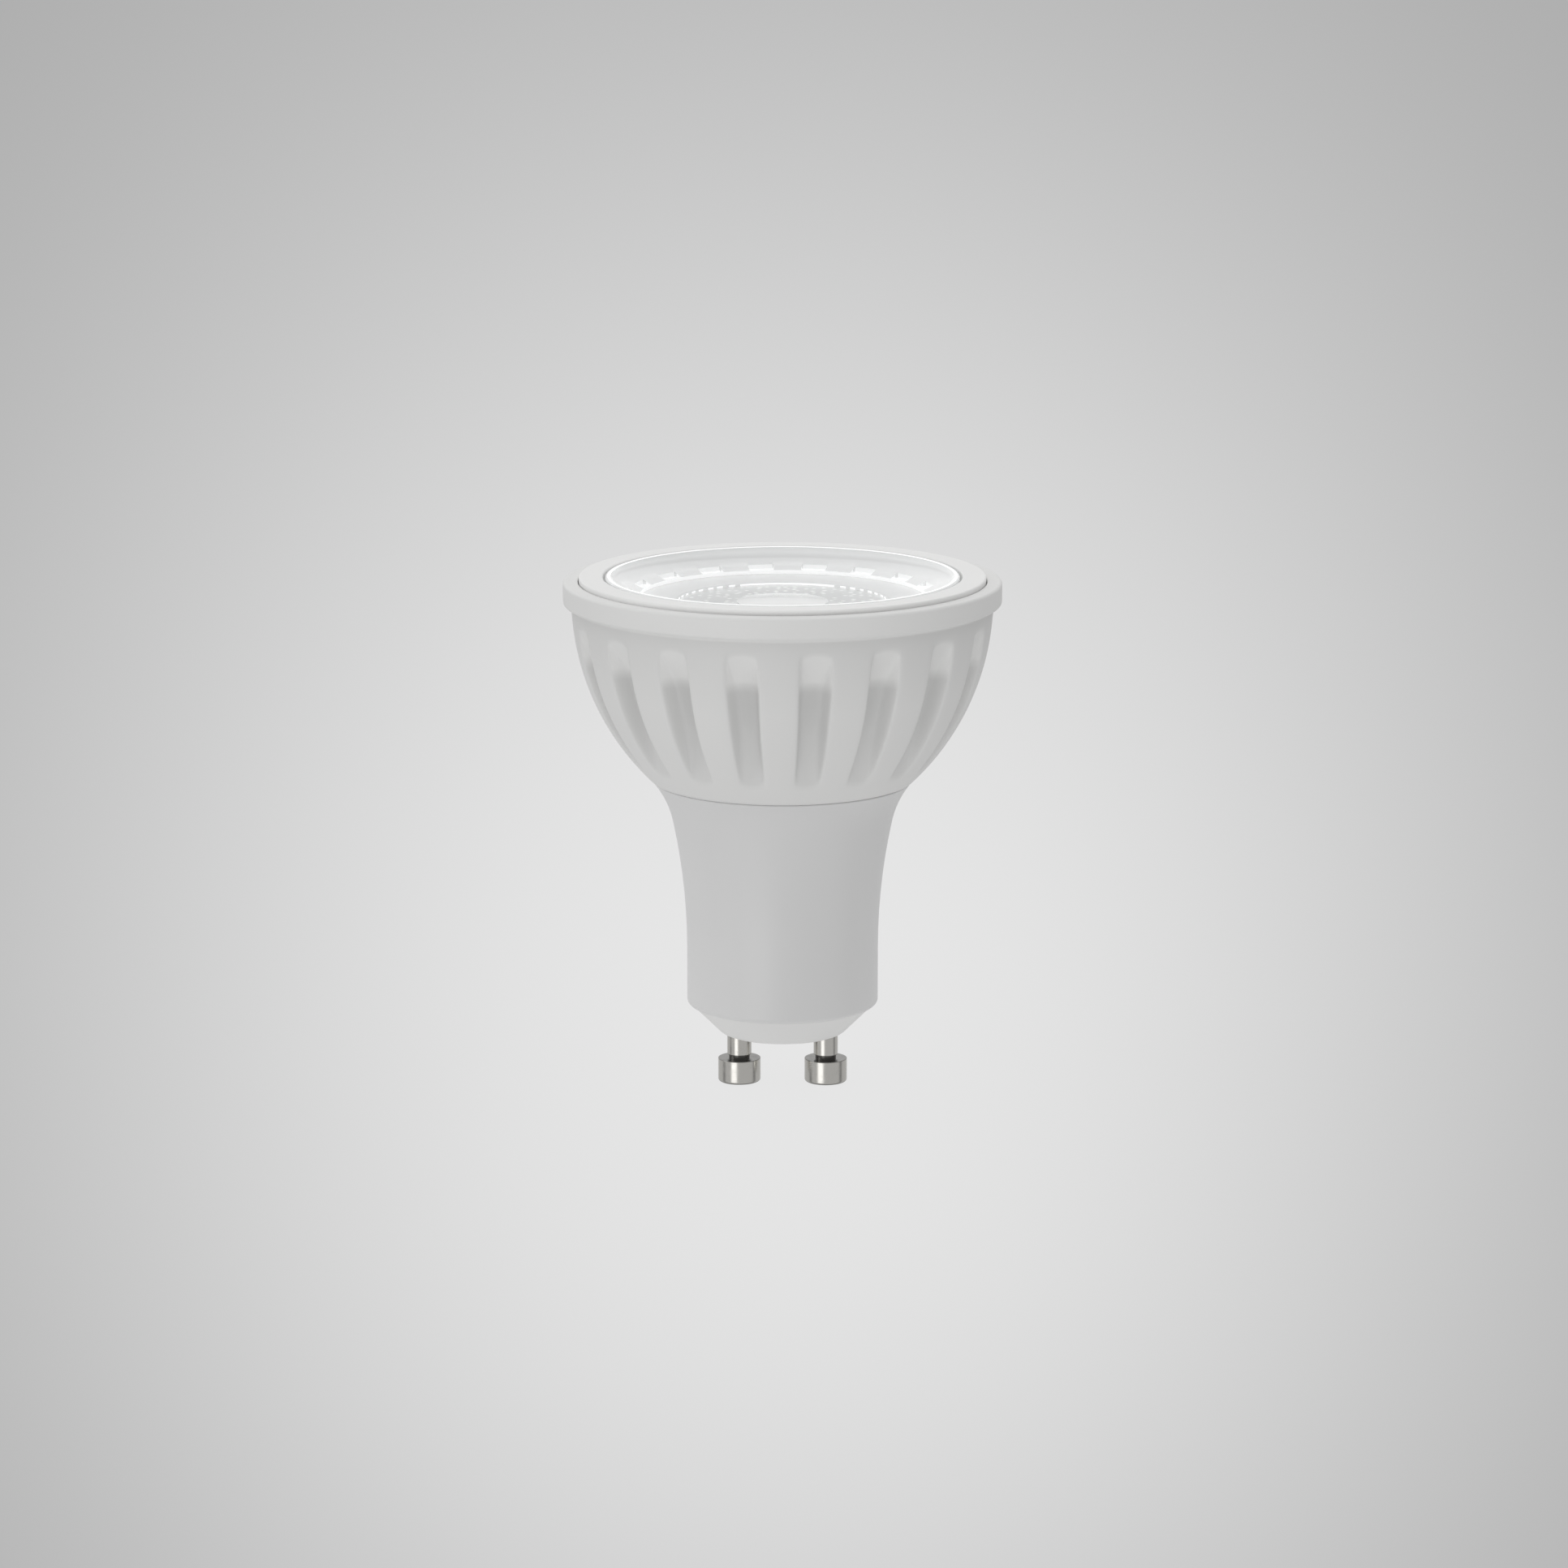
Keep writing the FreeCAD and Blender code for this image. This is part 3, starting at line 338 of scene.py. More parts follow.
def white_plastic(name, colour, roughness, grain, depth, painted_shade_share=0.0):
    """Moulded white plastic: a faint cloudiness 9 mm wide, and a grain left by the mould.

    The grain is what keeps its highlights soft. Where the bowl's painted shade attribute is 1,
    as in the depth of a flute, painted shade darkens the white by the given share, and below
    nought it is painted paler instead. Pieces without the attribute have nought there.
    """
    material, tree, place = new_material(name)
    cloud = add_node(tree, "ShaderNodeTexNoise",
                     {"Vector": place, "Scale": 1 / (9 * mm), "Detail": 3.0})
    shade = add_node(tree, "ShaderNodeValToRGB", {"Fac": cloud.outputs["Fac"]})
    tone = to_linear(colour)
    shade.color_ramp.elements[0].color = [v * 0.975 for v in tone[:3]] + [1.0]
    shade.color_ramp.elements[1].color = tone
    # Painted shade from the bowl's attribute: darker flutes and rim band, paler ramps.
    painted_shade = add_node(tree, "ShaderNodeAttribute", attribute_name="painted_shade")
    kept = add_node(tree, "ShaderNodeMath", {0: painted_shade.outputs["Fac"], 1: -painted_shade_share, 2: 1.0},
                    operation="MULTIPLY_ADD")
    shade = add_node(tree, "ShaderNodeVectorMath",
                     {0: shade.outputs["Color"], "Scale": kept.outputs[0]}, operation="SCALE")
    spots = add_node(tree, "ShaderNodeTexNoise",
                     {"Vector": place, "Scale": 1 / grain, "Detail": 2.0})
    sheen = add_node(tree, "ShaderNodeMapRange",
                     {"Value": spots.outputs["Fac"], "From Min": 0.3, "From Max": 0.7,
                      "To Min": roughness - 0.05, "To Max": roughness + 0.05})
    bump = add_node(tree, "ShaderNodeBump",
                    {"Height": spots.outputs["Fac"], "Strength": 1.0, "Distance": depth})
    shader = add_node(tree, "ShaderNodeBsdfPrincipled",
                      {"Base Color": shade.outputs[0], "Roughness": sheen.outputs[0],
                       "Normal": bump.outputs[0], "IOR": 1.57})
    show(tree, shader.outputs[0])
    return material


steps_around = 288
even = np.arange(steps_around) * whole_turn / steps_around
hairline = 0.01 * mm

cap_low, cap_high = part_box("end_cap")
neck_low, neck_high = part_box("neck_housing")
cap_rim = 10.45 * mm
cap_cone = neck_low.z - cap_low.z
cap_flat = cap_rim - cap_cone
cap_edge = 0.45 * mm
cap_edge_rise = cap_edge * 0.707
cap_edge_round = cap_edge / 0.4142
cap_break = 0.1 * mm
cap_break_round = 0.08 * mm
cap_collar = 9.4 * mm
cap_bore = 8.05 * mm
cap_floor = cap_low.z + 2.0 * mm

cap_profile = outline([
    (0.0, cap_low.z),
    (cap_flat - cap_edge, cap_low.z),
    (cap_flat + cap_edge_rise, cap_low.z + cap_edge_rise, cap_edge_round),
    (cap_rim - cap_break, neck_low.z - cap_break),
    (cap_rim - cap_break, neck_low.z - hairline, cap_break_round),
    (cap_collar, neck_low.z - hairline),
    (cap_collar, cap_high.z),
    (cap_bore, cap_high.z),
    (cap_bore, cap_floor),
    (0.0, cap_floor),
], closed=False)
end_cap = skin("end_cap_plug", around(cap_profile, even), ring=False)
cap_white = white_plastic("satin_pbt", "#EAEAE9", roughness=0.42, grain=0.25 * mm,
                          depth=0.004 * mm)
settle(end_cap, cap_white, "white_cap", "end_cap")

# The contact pins: nickel-plated brass, turned on a lathe. A button head, a short undercut
# and a stem, riveted over inside the cap. The tool leaves fine rings that stretch highlights.


def turned_nickel():
    """Bright nickel over turned brass, with rings 0.24 mm apart and a few rubbed spots.

    It mirrors the room in bright and dark stripes. The marks of a real tool are finer than
    the render shows, so the rings are drawn as coarse as it needs. A band of Wave is
    0.31 / Scale wide. Painted shade darkens the undercut, and a painted contact shadow
    darkens the edge of the foot.
    """
    ring_gap = 0.24 * mm
    groove_middle = 2.98 * mm
    material, tree, place = new_material("turned_nickel")
    rings = add_node(tree, "ShaderNodeTexWave",
                     {"Vector": place, "Scale": 0.31 / ring_gap, "Distortion": 1.2,
                      "Detail": 2.0, "Detail Scale": 1.5},
                     wave_type="BANDS", bands_direction="Z")
    rubbed = add_node(tree, "ShaderNodeTexNoise",
                      {"Vector": place, "Scale": 1 / (0.9 * mm), "Detail": 4.0})
    sheen = add_node(tree, "ShaderNodeMapRange",
                     {"Value": rubbed.outputs["Fac"], "From Min": 0.3, "From Max": 0.75,
                      "To Min": 0.16, "To Max": 0.30})
    bump = add_node(tree, "ShaderNodeBump",
                    {"Height": rings.outputs["Fac"], "Strength": 0.5, "Distance": 0.003 * mm})
    height = add_node(tree, "ShaderNodeSeparateXYZ", {"Vector": place})
    off = add_node(tree, "ShaderNodeMath", {0: height.outputs["Z"], 1: groove_middle},
                   operation="SUBTRACT")
    from_groove = add_node(tree, "ShaderNodeMath", {0: off.outputs[0]}, operation="ABSOLUTE")
    # Painted shade: the undercut and the foot's edge are darkened in the colour.
    groove_shade = add_node(tree, "ShaderNodeMapRange",
                     {"Value": from_groove.outputs[0], "From Min": 0.22 * mm,
                      "From Max": 0.34 * mm, "To Min": 0.22, "To Max": 1.0})
    foot_shade = add_node(tree, "ShaderNodeMapRange",
                    {"Value": height.outputs["Z"], "From Min": 0.06 * mm,
                     "From Max": 0.22 * mm, "To Min": 0.30, "To Max": 1.0})
    nickel_shade = add_node(tree, "ShaderNodeMath", {0: groove_shade.outputs[0], 1: foot_shade.outputs[0]},
                    operation="MINIMUM")
    tone = add_node(tree, "ShaderNodeVectorMath",
                    {0: Vector(to_linear("#DAD8D3")[:3]), "Scale": nickel_shade.outputs[0]},
                    operation="SCALE")
    shader = add_node(tree, "ShaderNodeBsdfPrincipled",
                      {"Base Color": tone.outputs[0], "Metallic": 1.0,
                       "Roughness": sheen.outputs[0], "Normal": bump.outputs[0]})
    show(tree, shader.outputs[0])
    return material


pin_low, pin_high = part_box("contact_pin_left")
pin_middles = 5.0 * mm
head = (pin_high.x - pin_low.x) / 2
head_top = 2.75 * mm
head_edge = 0.25 * mm
head_round = 1.2 * head_edge
undercut = 1.2 * mm
undercut_top = 3.2 * mm
stem = 1.4 * mm
edge_round = 0.06 * mm
pin_profile = outline([
    (0.0, pin_low.z),
    (head - head_edge, pin_low.z),
    (head, pin_low.z + head_edge, head_round),
    (head, head_top - edge_round),
    (head - edge_round, head_top, edge_round),
    (undercut, head_top),
    (undercut, undercut_top),
    (stem - edge_round, undercut_top),
    (stem, undercut_top + edge_round, edge_round),
    (stem, pin_high.z),
    (0.0, pin_high.z),
], closed=False)
nickel = turned_nickel()
pin_steps = 96
pin_turn = np.arange(pin_steps) * whole_turn / pin_steps
for name, middle in (("left", -pin_middles), ("right", pin_middles)):
    points = around(pin_profile, pin_turn)
    points[..., 0] += middle
    pin = skin(f"turned_pin_{name}", points, ring=False)
    settle(pin, nickel, "nickel", f"contact_pin_{name}")

# The neck: a barrel of white polycarbonate, moulded in one piece. It is straight at the foot
# and opens in two sweeps to the seam, and its upper collar plugs into the bowl. It is bare.
# Its satin skin is a little glossier than the bowl's, so its edges catch a soft light.

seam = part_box("heat_sink")[0].z
neck_radius = 11.0 * mm
neck_foot_edge = 0.55 * mm
shaft_top = neck_low.z + 6.6 * mm
sweep_end = (12.6 * mm, seam - 4.7 * mm)
lower_sweep = 70.7 * mm
upper_sweep = 11.2 * mm
seam_radius = 14.9 * mm
seam_edge = 0.14 * mm
neck_seam_round = 0.16 * mm
collar_radius = 12.4 * mm
neck_wall = 1.5 * mm
neck_bore = neck_radius - neck_wall
neck_profile = outline([
    (neck_bore, neck_low.z),
    (neck_radius - neck_foot_edge, neck_low.z),
    (neck_radius, neck_low.z + neck_foot_edge, neck_foot_edge),
    (neck_radius, shaft_top),
    (*sweep_end, -lower_sweep),
    (seam_radius - seam_edge, seam - seam_edge, -upper_sweep),
    (seam_radius - 2 * seam_edge, seam - hairline, neck_seam_round),
    (collar_radius, seam - hairline),
    (collar_radius, neck_high.z),
    (collar_radius - neck_wall, neck_high.z),
    (collar_radius - neck_wall, seam - neck_wall),
    (neck_bore, shaft_top),
])
neck = skin("neck_barrel", around(neck_profile, even), ring=True)
neck_white = white_plastic("satin_polycarbonate", "#E2E2E2", roughness=0.38, grain=0.30 * mm,
                           depth=0.004 * mm)
settle(neck, neck_white, "white_neck", "neck_housing")

# The bowl: heat-conducting plastic, moulded with 18 flutes and a rim in one shot. Its skin is
# matt and slightly coarse from the mineral filler, and every edge has a small round. The ramp
# of a flute gets painted light, and its shaft and the band under the rim get painted shade.

bowl_low, bowl_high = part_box("heat_sink")
rim = (bowl_high.x - bowl_low.x) / 2
rim_top = bowl_high.z
rim_foot = rim_top - 2.55 * mm
rim_round = 0.35 * mm
bowl_radius = rim - 0.9 * mm
bowl_arc = 29.4 * mm
cove = 0.25 * mm
bowl_seam_round = 0.2 * mm
flutes = 18
flute_width = 3.7 * mm
flute_foot_width = 2.9 * mm
flute_draft = 0.22
flute_corner = 0.55 * mm
flute_edge = 0.28 * mm
flute_knee = 0.25 * mm
ramp_top = (bowl_radius, rim_foot - 1.4 * mm)
ramp_foot = (bowl_radius - 3.2 * mm, ramp_top[1] - 4.5 * mm)
flute_end = (seam_radius + 1.95 * mm, seam + 2.1 * mm)


def side_radius(z):
    """Radius of the bowl's side at height z: one arc from the seam up to the rim."""
    low, high = np.array([seam_radius, seam]), np.array([bowl_radius, rim_foot])
    chord = high - low
    half = np.hypot(*chord) / 2
    left = np.array([-chord[1], chord[0]]) / (2 * half)
    centre = (low + high) / 2 + left * math.sqrt(bowl_arc ** 2 - half ** 2)
    return centre[0] + np.sqrt(bowl_arc ** 2 - (z - centre[1]) ** 2)


def above_line(r, z, low, high):
    """Distance of (r, z) outward from the line through low and high."""
    along = np.array(high) - np.array(low)
    along = along / np.hypot(*along)
    return (r - low[0]) * along[1] - (z - low[1]) * along[0]


def blend(a, b, width):
    """The larger of a and b, rounded where they are nearly equal."""
    return (a + b + np.sqrt((a - b) ** 2 + width ** 2)) / 2


def fluted(angle, z):
    """Radius of the fluted side at (angle, z), found by halving 12 to 26 mm 40 times.

    A flute has a flat floor and drafted walls, and narrows to its foot. Its floor runs
    straight up from the foot, then ramps out of the bowl. The height above the floor is
    the smaller distance to both runs. The room beside the wall is half the width, less
    |y| and the draft times the depth below the side. The cut is where both are above
    nought. The skin is where the larger of (radius - side) and the smaller of height and
    room is nought. Each smaller or larger one is rounded.
    """
    pitch = whole_turn / flutes
    off = (angle + pitch / 2) % pitch - pitch / 2
    low = np.full(np.broadcast(angle, z).shape, 12.0 * mm)
    high = np.full(low.shape, 26.0 * mm)
    side = side_radius(z)
    half = np.interp(z, [flute_end[1], ramp_foot[1]], [flute_foot_width / 2, flute_width / 2])
    for _ in range(40):
        radius = (low + high) / 2
        r, y = radius * np.cos(off), radius * np.sin(off)
        height = -blend(-above_line(r, z, ramp_foot, ramp_top),
                        -above_line(r, z, flute_end, ramp_foot), flute_knee)
        wall = (half - flute_draft * (side - radius) - np.abs(y)) / math.hypot(1, flute_draft)
        cut = -blend(-height, -wall, flute_corner)
        inside = blend(radius - side, cut, flute_edge) < 0
        low = np.where(inside, radius, low)
        high = np.where(inside, high, radius)
    return low


def crowded(low, high, count, places, width, extra):
    """Count values from low to high, extra times as dense within width of each place."""
    fine = np.linspace(low, high, 4000)
    density = 1 + extra * sum(np.exp(-((fine - p) / width) ** 2) for p in places)
    travelled = np.concatenate([[0], np.cumsum((density[1:] + density[:-1]) / 2)])
    return np.interp(np.linspace(0, travelled[-1], count), travelled, fine)


half_pitch = whole_turn / flutes / 2
wall_angle = 0.071
one_flute = crowded(-half_pitch, half_pitch, count=34, places=(-wall_angle, wall_angle),
                    width=0.02, extra=2.5)[:-1]
bowl_turn = (one_flute[None] + 2 * half_pitch * np.arange(flutes)[:, None]).ravel()
side_rows = crowded(seam + seam_edge, rim_foot - cove, count=100,
                    places=(ramp_top[1], ramp_foot[1], flute_end[1] + 0.6 * mm),
                    width=0.9 * mm, extra=1.6)
socket = collar_radius + 0.1 * mm
socket_roof = seam + 2.9 * mm
ring_seat = rim_top - 0.95 * mm
lens_seat = rim_top - 1.65 * mm
ring_pocket = 23.3 * mm
pocket_edge = 0.1 * mm
lens_pocket = 21.5 * mm
hollow_top = bowl_radius - 3.4 * mm
hollow_foot = (14.26 * mm, seam + 4.5 * mm)
hollow_arc = 26.0 * mm
passage = 9.6 * mm
under_rim = outline([
    (bowl_radius, rim_foot - cove),
    (bowl_radius + cove, rim_foot, -cove),
    (rim - rim_round, rim_foot),
    (rim, rim_foot + rim_round, rim_round),
    (rim, rim_top - rim_round),
    (rim - rim_round, rim_top, rim_round),
    (ring_pocket + pocket_edge, rim_top),
    (ring_pocket, rim_top - pocket_edge, pocket_edge),
    (ring_pocket, ring_seat),
    (lens_pocket, ring_seat),
    (lens_pocket, lens_seat),
    (hollow_top, lens_seat),
    (*hollow_foot, -hollow_arc),
    (passage, hollow_foot[1]),
    (passage, socket_roof),
    (socket, socket_roof),
    (socket, seam + hairline),
    (seam_radius - 2 * seam_edge, seam + hairline),
    (seam_radius - seam_edge / 2, seam + seam_edge, bowl_seam_round),
], closed=False)[1:-1]
side = np.stack([fluted(bowl_turn[None], side_rows[:, None])] * 2 + [
    np.broadcast_to(side_rows[:, None], (len(side_rows), len(bowl_turn)))], axis=2)
side[..., 0] *= np.cos(bowl_turn)
side[..., 1] *= np.sin(bowl_turn)
bowl = skin("fluted_bowl", np.concatenate([side, around(under_rim, bowl_turn)]), ring=True)


def recess_shade(mesh):
    """How strongly each vertex is shaded, from -0.6 on a ramp to 1 in the depth of a shaft.

    It goes by the depth below the bowl's side. Ramps get painted light and shafts painted
    shade, and they blend over 1.4 mm round the knee. Up to 0.55 of painted shade is added over
    the last 9 mm below the rim.
    """
    places = np.empty(len(mesh.vertices) * 3)
    mesh.vertices.foreach_get("co", places)
    x, y, z = places.reshape(-1, 3).T
    radius = np.hypot(x, y)
    inside_radius = 16.2 * mm
    on_side = (z > seam + seam_edge) & (z < rim_foot - cove) & (radius > inside_radius)
    sunk = np.where(on_side, side_radius(np.clip(z, seam, rim_foot)) - radius, 0.0) / mm
    # Painted light on the ramps, painted shade in the shafts and under the rim.
    painted_ramp_light = np.interp(sunk, [0.1, 0.35, 2.0, 2.8], [0.0, -0.6, -0.6, 0.6])
    painted_shaft_shade = np.interp(sunk, [0.12, 0.45, 2.2, 2.75], [0.0, 0.35, 0.48, 1.0])
    ramp_share = np.clip((z - ramp_foot[1]) / (1.4 * mm) + 0.5, 0.0, 1.0)
    painted_rim_shade = 0.55 * np.clip(1 - (rim_foot - z) / (9.0 * mm), 0.0, 1.0)
    return painted_shaft_shade + (painted_ramp_light - painted_shaft_shade) * ramp_share + np.where(on_side, painted_rim_shade, 0.0)


# Painted shade and painted light for the bowl's white, kept per vertex.
painted_shade = bowl.data.attributes.new("painted_shade", "FLOAT", "POINT")
painted_shade.data.foreach_set("value", recess_shade(bowl.data))
bowl_white = white_plastic("filled_polyamide", "#E7E7E6", roughness=0.55, grain=0.22 * mm,
                           depth=0.008 * mm, painted_shade_share=0.20)
settle(bowl, bowl_white, "white_bowl", "heat_sink")

# The front ring: a white ABS ring that drops into the rim and holds the lens by its flange.
# ABS moulds smoother than the filled plastic of the bowl, so its flat face is brighter.

ring_low, ring_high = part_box("front_ring")
ring_outside = (ring_high.x - ring_low.x) / 2
ring_bore = 20.45 * mm
ring_lip = ring_low.z + 0.35 * mm
ring_edge = 0.2 * mm
ring_profile = outline([
    (lens_pocket, ring_low.z),
    (ring_outside, ring_low.z),
    (ring_outside, ring_high.z - ring_edge),
    (ring_outside - ring_edge, ring_high.z, ring_edge),
    (ring_bore + ring_edge, ring_high.z),
    (ring_bore, ring_high.z - ring_edge, ring_edge),
    (ring_bore, ring_lip),
    (lens_pocket, ring_lip),
])
front_ring = skin("front_ring_moulding", around(ring_profile, even), ring=True)
ring_white = white_plastic("satin_abs", "#F0F0EF", roughness=0.36, grain=0.30 * mm,
                           depth=0.003 * mm)
settle(front_ring, ring_white, "white_ring", "front_ring")

# The lens: one clear acrylic moulding, polished. Its face is dished to a step, with seventeen
# notches above it, then falls to a second step and a raised eye. A light cone is behind it.

lens_low, lens_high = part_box("lens")
lens_foot, lens_face = lens_low.z, lens_high.z
flange = (lens_high.x - lens_low.x) / 2
flange_face = lens_seat + 1.0 * mm
lens_radius = 20.2 * mm
lens_edge = 0.25 * mm
lip = 19.6 * mm
dish_foot = (16.3 * mm, lens_face - 2.2 * mm)
dish_arc = 9.0 * mm
first_step = 0.45 * mm
second_step = (12.0 * mm, dish_foot[1] - 0.75 * mm)
second_drop = 0.25 * mm
eye = 5.2 * mm
eye_rise = 0.45 * mm
cone_top = 19.2 * mm
cone_foot = 8.4 * mm
cone_arc = 30.0 * mm
well = 6.2 * mm
well_roof = (5.4 * mm, lens_foot + 5.2 * mm)
tip = 0.04 * mm
notches = 17
first_notch = math.radians(99.6)
notch_half = 1.45 * mm
notch_back = 17.4 * mm
dish = arc((lip, lens_face - tip), dish_foot, -dish_arc)[::-1]
notch_top = float(np.interp(notch_back, dish[:, 0], dish[:, 1]))
eye_floor = second_step[1] - second_drop
eye_ball = (eye ** 2 + (eye_rise / 2) ** 2) / eye_rise
well_dome = 1.0 * mm
well_ball = (well_roof[0] ** 2 + well_dome ** 2) / (2 * well_dome)
lens_profile = outline([
    (0.0, well_roof[1] - well_dome),
    (*well_roof, well_ball),
    (well, lens_foot + tip),
    (well + tip, lens_foot, tip),
    (cone_foot - tip, lens_foot),
    (cone_foot, lens_foot + tip, tip),
    (cone_top, lens_seat, cone_arc),
    (flange - tip, lens_seat),
    (flange, lens_seat + tip, tip),
    (flange, flange_face - tip),
    (flange - tip, flange_face, tip),
    (lens_radius, flange_face),
    (lens_radius, lens_face - lens_edge),
    (lens_radius - lens_edge, lens_face, lens_edge),
    (lip + tip, lens_face),
    (lip, lens_face - tip, tip),
    (notch_back + tip / 2, notch_top, -dish_arc),
    (notch_back - tip / 2, notch_top),
    (*dish_foot, -dish_arc),
    (dish_foot[0], dish_foot[1] - first_step + tip),
    (dish_foot[0] - tip, dish_foot[1] - first_step, -tip),
    (second_step[0] + tip, second_step[1]),
    (second_step[0], second_step[1] - tip, tip),
    (second_step[0], eye_floor + tip),
    (second_step[0] - tip, eye_floor, -tip),
    (eye + tip, eye_floor),
    (eye, eye_floor + tip, -tip),
    (eye, eye_floor + eye_rise / 2),
    (0.0, eye_floor + eye_rise, eye_ball),
], closed=False)


def in_notch(x, y):
    """True between a notch's sides, from the step out to the notch's back."""
    radius, angle = np.hypot(x, y), np.arctan2(y, x) - first_notch
    pitch = whole_turn / notches
    off = (angle + pitch / 2) % pitch - pitch / 2
    return ((np.abs(radius * np.sin(off)) < notch_half) & (radius < notch_back)
            & (radius > dish_foot[0] - tip))


def notched(points):
    """Lower the dish to its foot within each notch."""
    x, y, z = np.moveaxis(points, -1, 0)
    lowered = np.where(in_notch(x, y) & (z > dish_foot[1]), dish_foot[1], z)
    return np.stack([x, y, lowered], axis=-1)


notch_side = math.asin(notch_half / (0.5 * (dish_foot[0] + notch_back)))
half_notch_pitch = whole_turn / notches / 2
one_notch = crowded(-half_notch_pitch, half_notch_pitch, count=25,
                    places=(-notch_side, notch_side), width=0.012, extra=4.0)[:-1]
lens_turn = first_notch + (
    one_notch[None] + 2 * half_notch_pitch * np.arange(notches)[:, None]).ravel()
lens = skin("clear_lens", notched(around(lens_profile, lens_turn)), ring=False)


def painted_glow_share(mesh):
    """How much painted glow each face of the lens gets, as if guided light left it.

    It is 1 on the first step and the lip, 0.65 in the notches, 1.4 on the second step, with
    50 dimmer dashes of 0.4 away from its middle, and 0.2 on the eye. The dish has 0.08, and
    up to 0.18 at its left and right ends. All else has nought.
    """
    middles, normals = np.empty((2, len(mesh.polygons) * 3))
    mesh.polygons.foreach_get("center", middles)
    mesh.polygons.foreach_get("normal", normals)
    x, y, z = middles.reshape(-1, 3).T
    radius, level = np.hypot(x, y), np.abs(normals.reshape(-1, 3)[:, 2])
    upright = (level < 0.5) & (z > eye_floor - tip)
    dashed = (np.abs(x) > 5.0 * mm) & (np.sin(50 * np.arctan2(y, x)) > 0.0)
    to_end = np.clip((np.abs(x) / radius - 0.6) / 0.35, 0.0, 1.0)
    first = upright & (np.abs(radius - dish_foot[0]) < 2 * tip) & (z < dish_foot[1])
    notch = in_notch(x, y) & (z > dish_foot[1] - tip) & (z < notch_top)
    second = upright & (np.abs(radius - second_step[0]) < 2 * tip)
    on_lip = (radius > lip - 2 * tip) & (radius < lip + 0.35 * mm) & (z > lens_face - 3 * tip)
    on_eye = (radius < eye) & (z > well_roof[1] + 0.2 * mm)
    in_dish = (radius < lip) & (z > dish_foot[1])
    return np.select([first, notch, second, on_lip, on_eye, in_dish],
                     [1.0, 0.65, np.where(dashed, 0.4, 1.4), 1.0, 0.20, 0.08 + 0.10 * to_end],
                     0.0)


# Painted glow on the lens's steps, notches, lip, dish and eye; no lamp is lit.
painted_glow = lens.data.attributes.new("painted_glow", "FLOAT", "FACE")
painted_glow.data.foreach_set("value", painted_glow_share(lens.data))


def clear_acrylic():
    """Polished PMMA, index 1.49: a sharp gloss, a little milky from the light that it spreads.

    The middle is clearer than the dish. Steps, notches, lip, dish and eye get a painted glow,
    as if light guided inside came out there, though no lamp is lit. Round the eye, painted
    glints 1.1 mm apart, standing for small pillows, show as bright dots.
    """
    glint_gap = 1.1 * mm
    material, tree, place = new_material("clear_acrylic")
    waves = add_node(tree, "ShaderNodeTexNoise",
                     {"Vector": place, "Scale": 1 / (3 * mm), "Detail": 1.0})
    bump = add_node(tree, "ShaderNodeBump",
                    {"Height": waves.outputs["Fac"], "Strength": 1.0, "Distance": 0.01 * mm})
    flat = add_node(tree, "ShaderNodeVectorMath", {0: place, 1: Vector((1, 1, 0))},
                    operation="MULTIPLY")
    radius = add_node(tree, "ShaderNodeVectorMath", {0: flat.outputs[0]}, operation="LENGTH")
    clear = add_node(tree, "ShaderNodeMapRange",
                     {"Value": radius.outputs["Value"], "From Min": second_step[0] - 0.5 * mm,
                      "From Max": second_step[0] + 0.5 * mm, "To Min": 0.55, "To Max": 0.30})
    edge = add_node(tree, "ShaderNodeAttribute", attribute_name="painted_glow")
    # Painted glow from the lens's attribute, plus a faint painted glow all over.
    painted_edge_glow = add_node(tree, "ShaderNodeMath", {0: edge.outputs["Fac"], 1: 0.36, 2: 0.04},
                         operation="MULTIPLY_ADD")
    # Painted glints: bright dots round the eye, over the light cone.
    glint_cells = add_node(tree, "ShaderNodeTexVoronoi",
                       {"Vector": place, "Scale": 1 / glint_gap, "Randomness": 0.5})
    painted_glint = add_node(tree, "ShaderNodeMapRange",
                     {"Value": glint_cells.outputs["Distance"], "From Min": 0.12,
                      "From Max": 0.34, "To Min": 0.17, "To Max": 0.0})
    over_light = add_node(tree, "ShaderNodeMath",
                          {0: radius.outputs["Value"], 1: 8.4 * mm, 2: 2.8 * mm},
                          operation="COMPARE")
    glow = add_node(tree, "ShaderNodeMath",
                    {0: painted_glint.outputs[0], 1: over_light.outputs[0], 2: painted_edge_glow.outputs[0]},
                    operation="MULTIPLY_ADD")
    shader = add_node(tree, "ShaderNodeBsdfPrincipled",
                      {"Base Color": to_linear("#FAFBFB"), "Roughness": 0.02, "IOR": 1.49,
                       "Transmission Weight": clear.outputs[0], "Normal": bump.outputs[0],
                       "Emission Color": to_linear("#FFFFFF"),
                       "Emission Strength": glow.outputs[0]})
    show(tree, shader.outputs[0])
    return material


settle(lens, clear_acrylic(), "clear_plastic", "lens")

# The inside: the metal cup, the light source on its board, the wires and the driver.
# They keep their solids' shapes, and each gets the finish of its real material.


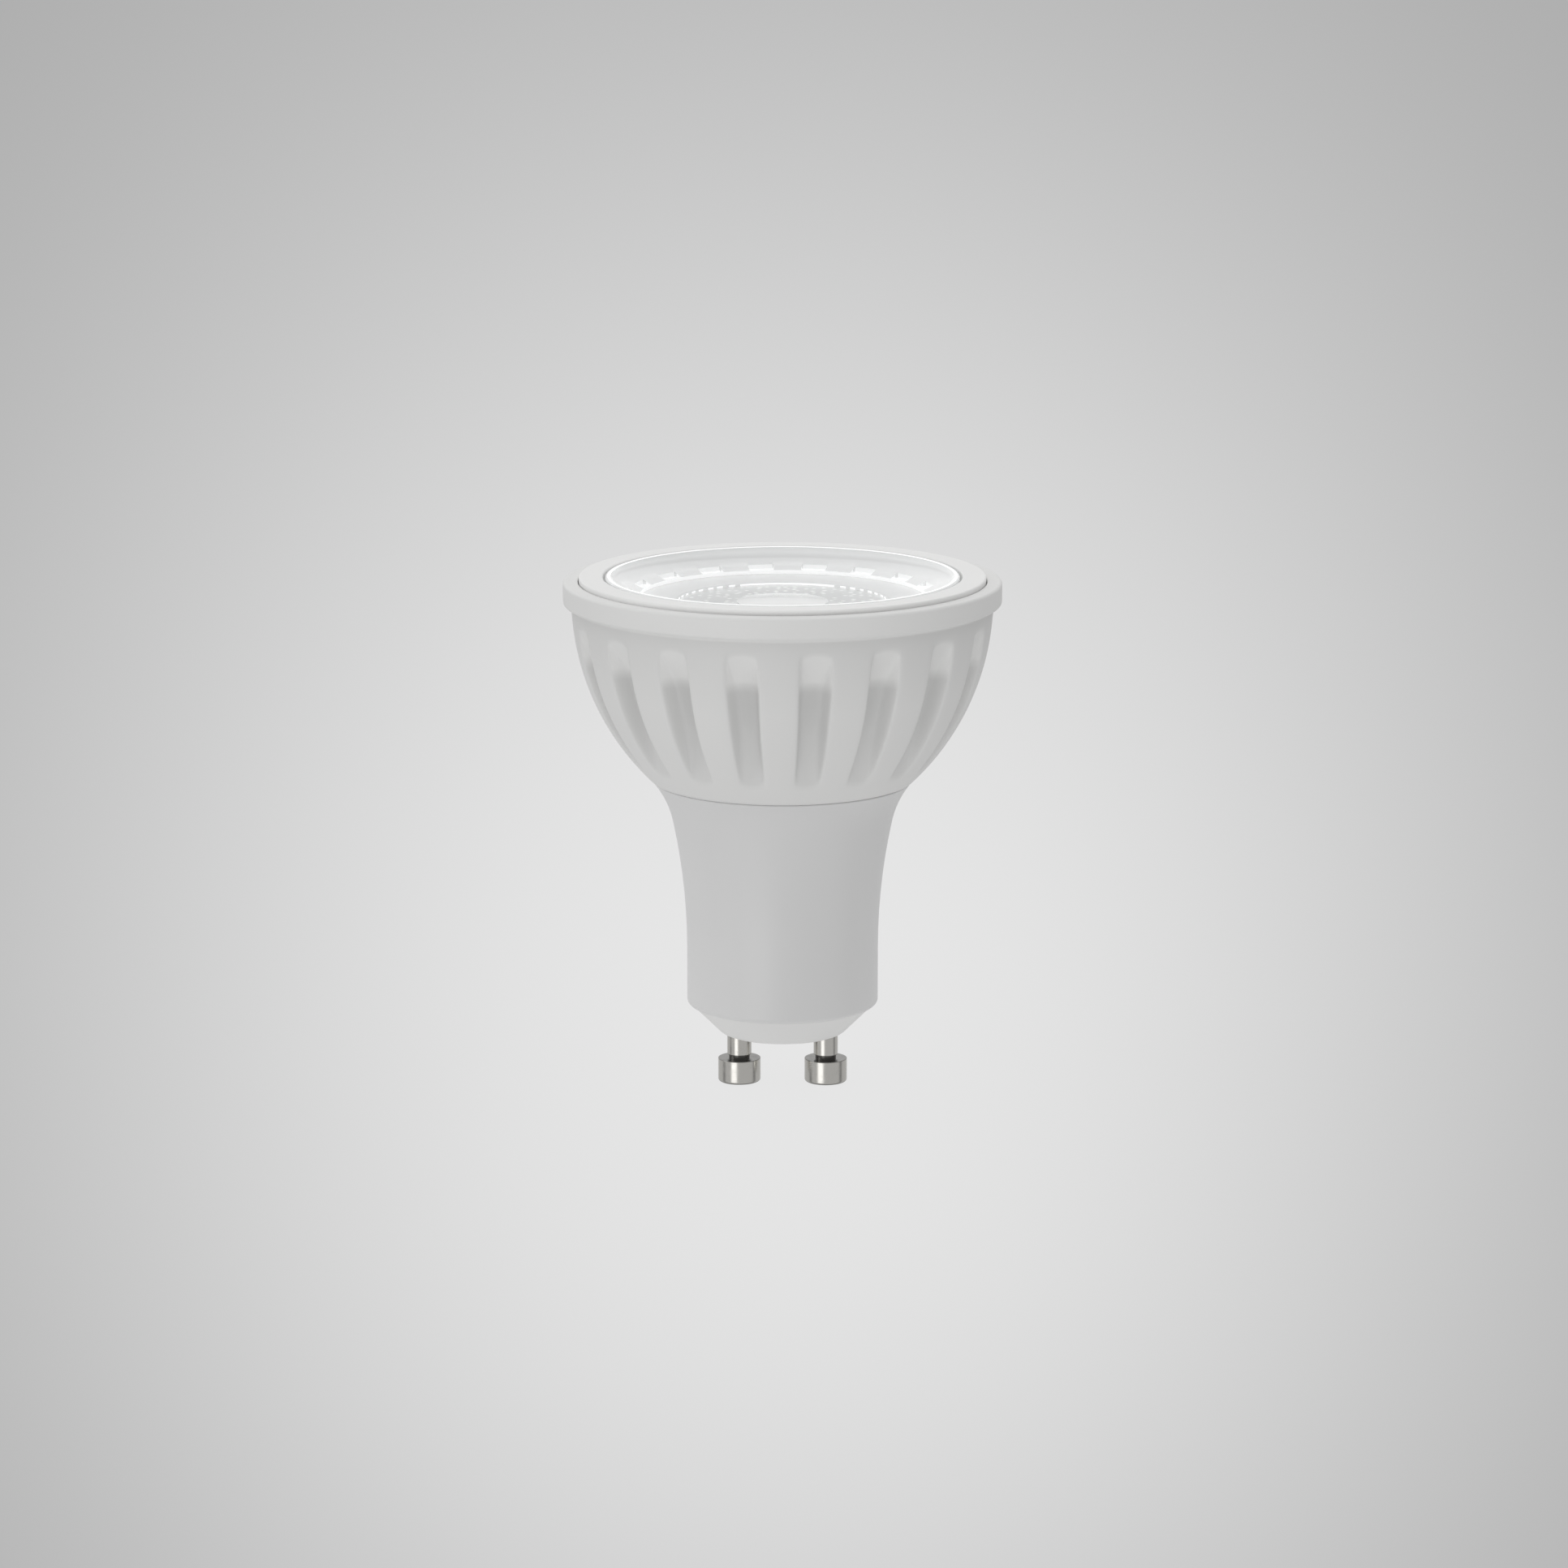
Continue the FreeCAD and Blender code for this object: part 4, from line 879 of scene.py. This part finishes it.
def plain_finish(name, colour, roughness, metallic=0.0):
    """One colour with a speckle 0.3 mm wide in shade and gloss, so it doesn't look painted."""
    speck = 0.3 * mm
    material, tree, place = new_material(name)
    spots = add_node(tree, "ShaderNodeTexNoise",
                     {"Vector": place, "Scale": 1 / speck, "Detail": 3.0})
    shade = add_node(tree, "ShaderNodeValToRGB", {"Fac": spots.outputs["Fac"]})
    tone = to_linear(colour)
    shade.color_ramp.elements[0].color = [v * 0.94 for v in tone[:3]] + [1.0]
    shade.color_ramp.elements[1].color = tone
    sheen = add_node(tree, "ShaderNodeMapRange",
                     {"Value": spots.outputs["Fac"], "To Min": roughness - 0.06,
                      "To Max": roughness + 0.06})
    shader = add_node(tree, "ShaderNodeBsdfPrincipled",
                      {"Base Color": shade.outputs["Color"], "Roughness": sheen.outputs[0],
                       "Metallic": metallic})
    show(tree, shader.outputs[0])
    return material


inner_finishes = {
    "aluminium": ("white_lacquered_aluminium", "#F2F2F2", 0.60),  # matt, lights the lens
    "thermal_pad": ("silicone_pad", "#A9ADB0", 0.8),  # dull grey rubber
    "board_white": ("white_solder_mask", "#EDEDE8", 0.35),  # smooth lacquer
    "ceramic": ("fired_alumina", "#EBEBE6", 0.45),  # chalky white
    "white_resin": ("white_silicone", "#F0F0EE", 0.4),  # a soft gloss
    "phosphor": ("phosphor_silicone", "#DAD4B4", 0.3),  # a pale yellow gel
    "steel": ("zinc_plated_steel", "#B9BABD", 0.35, 1.0),  # cool satin metal
    "tinned_wire": ("tinned_copper", "#C9C9C6", 0.35, 1.0),  # dull silver
    "black_wire": ("black_pvc", "#17181A", 0.45),  # satin insulation
    "red_wire": ("red_pvc", "#8C1D18", 0.45),  # satin insulation
    "board_green": ("green_solder_mask", "#1F5A3A", 0.3),  # glossy lacquer
    "ferrite": ("sintered_ferrite", "#3B3A3C", 0.6),  # rough and dark
    "winding_tape": ("polyester_tape", "#D8B22C", 0.3),  # a shiny film
    "capacitor_sleeve": ("shrunk_pvc_sleeve", "#20222E", 0.3),  # a tight glossy film
    "resistor_body": ("lacquered_resistor", "#5E8F78", 0.45),  # baked lacquer
    "film_box": ("polyester_box", "#A8641E", 0.4),  # a moulded case
    "black_resin": ("moulded_epoxy", "#1B1B1C", 0.5),  # matt black
}
finishes = {slot: plain_finish(*values) for slot, values in inner_finishes.items()}
slot_of = {part["node"]: part["material_slot"] for part in frame["record"]["subparts"]}
for node, piece in frame["nodes"].items():
    if slot_of[node] in finishes:
        piece.data.materials.clear()
        piece.data.materials.append(finishes[slot_of[node]])
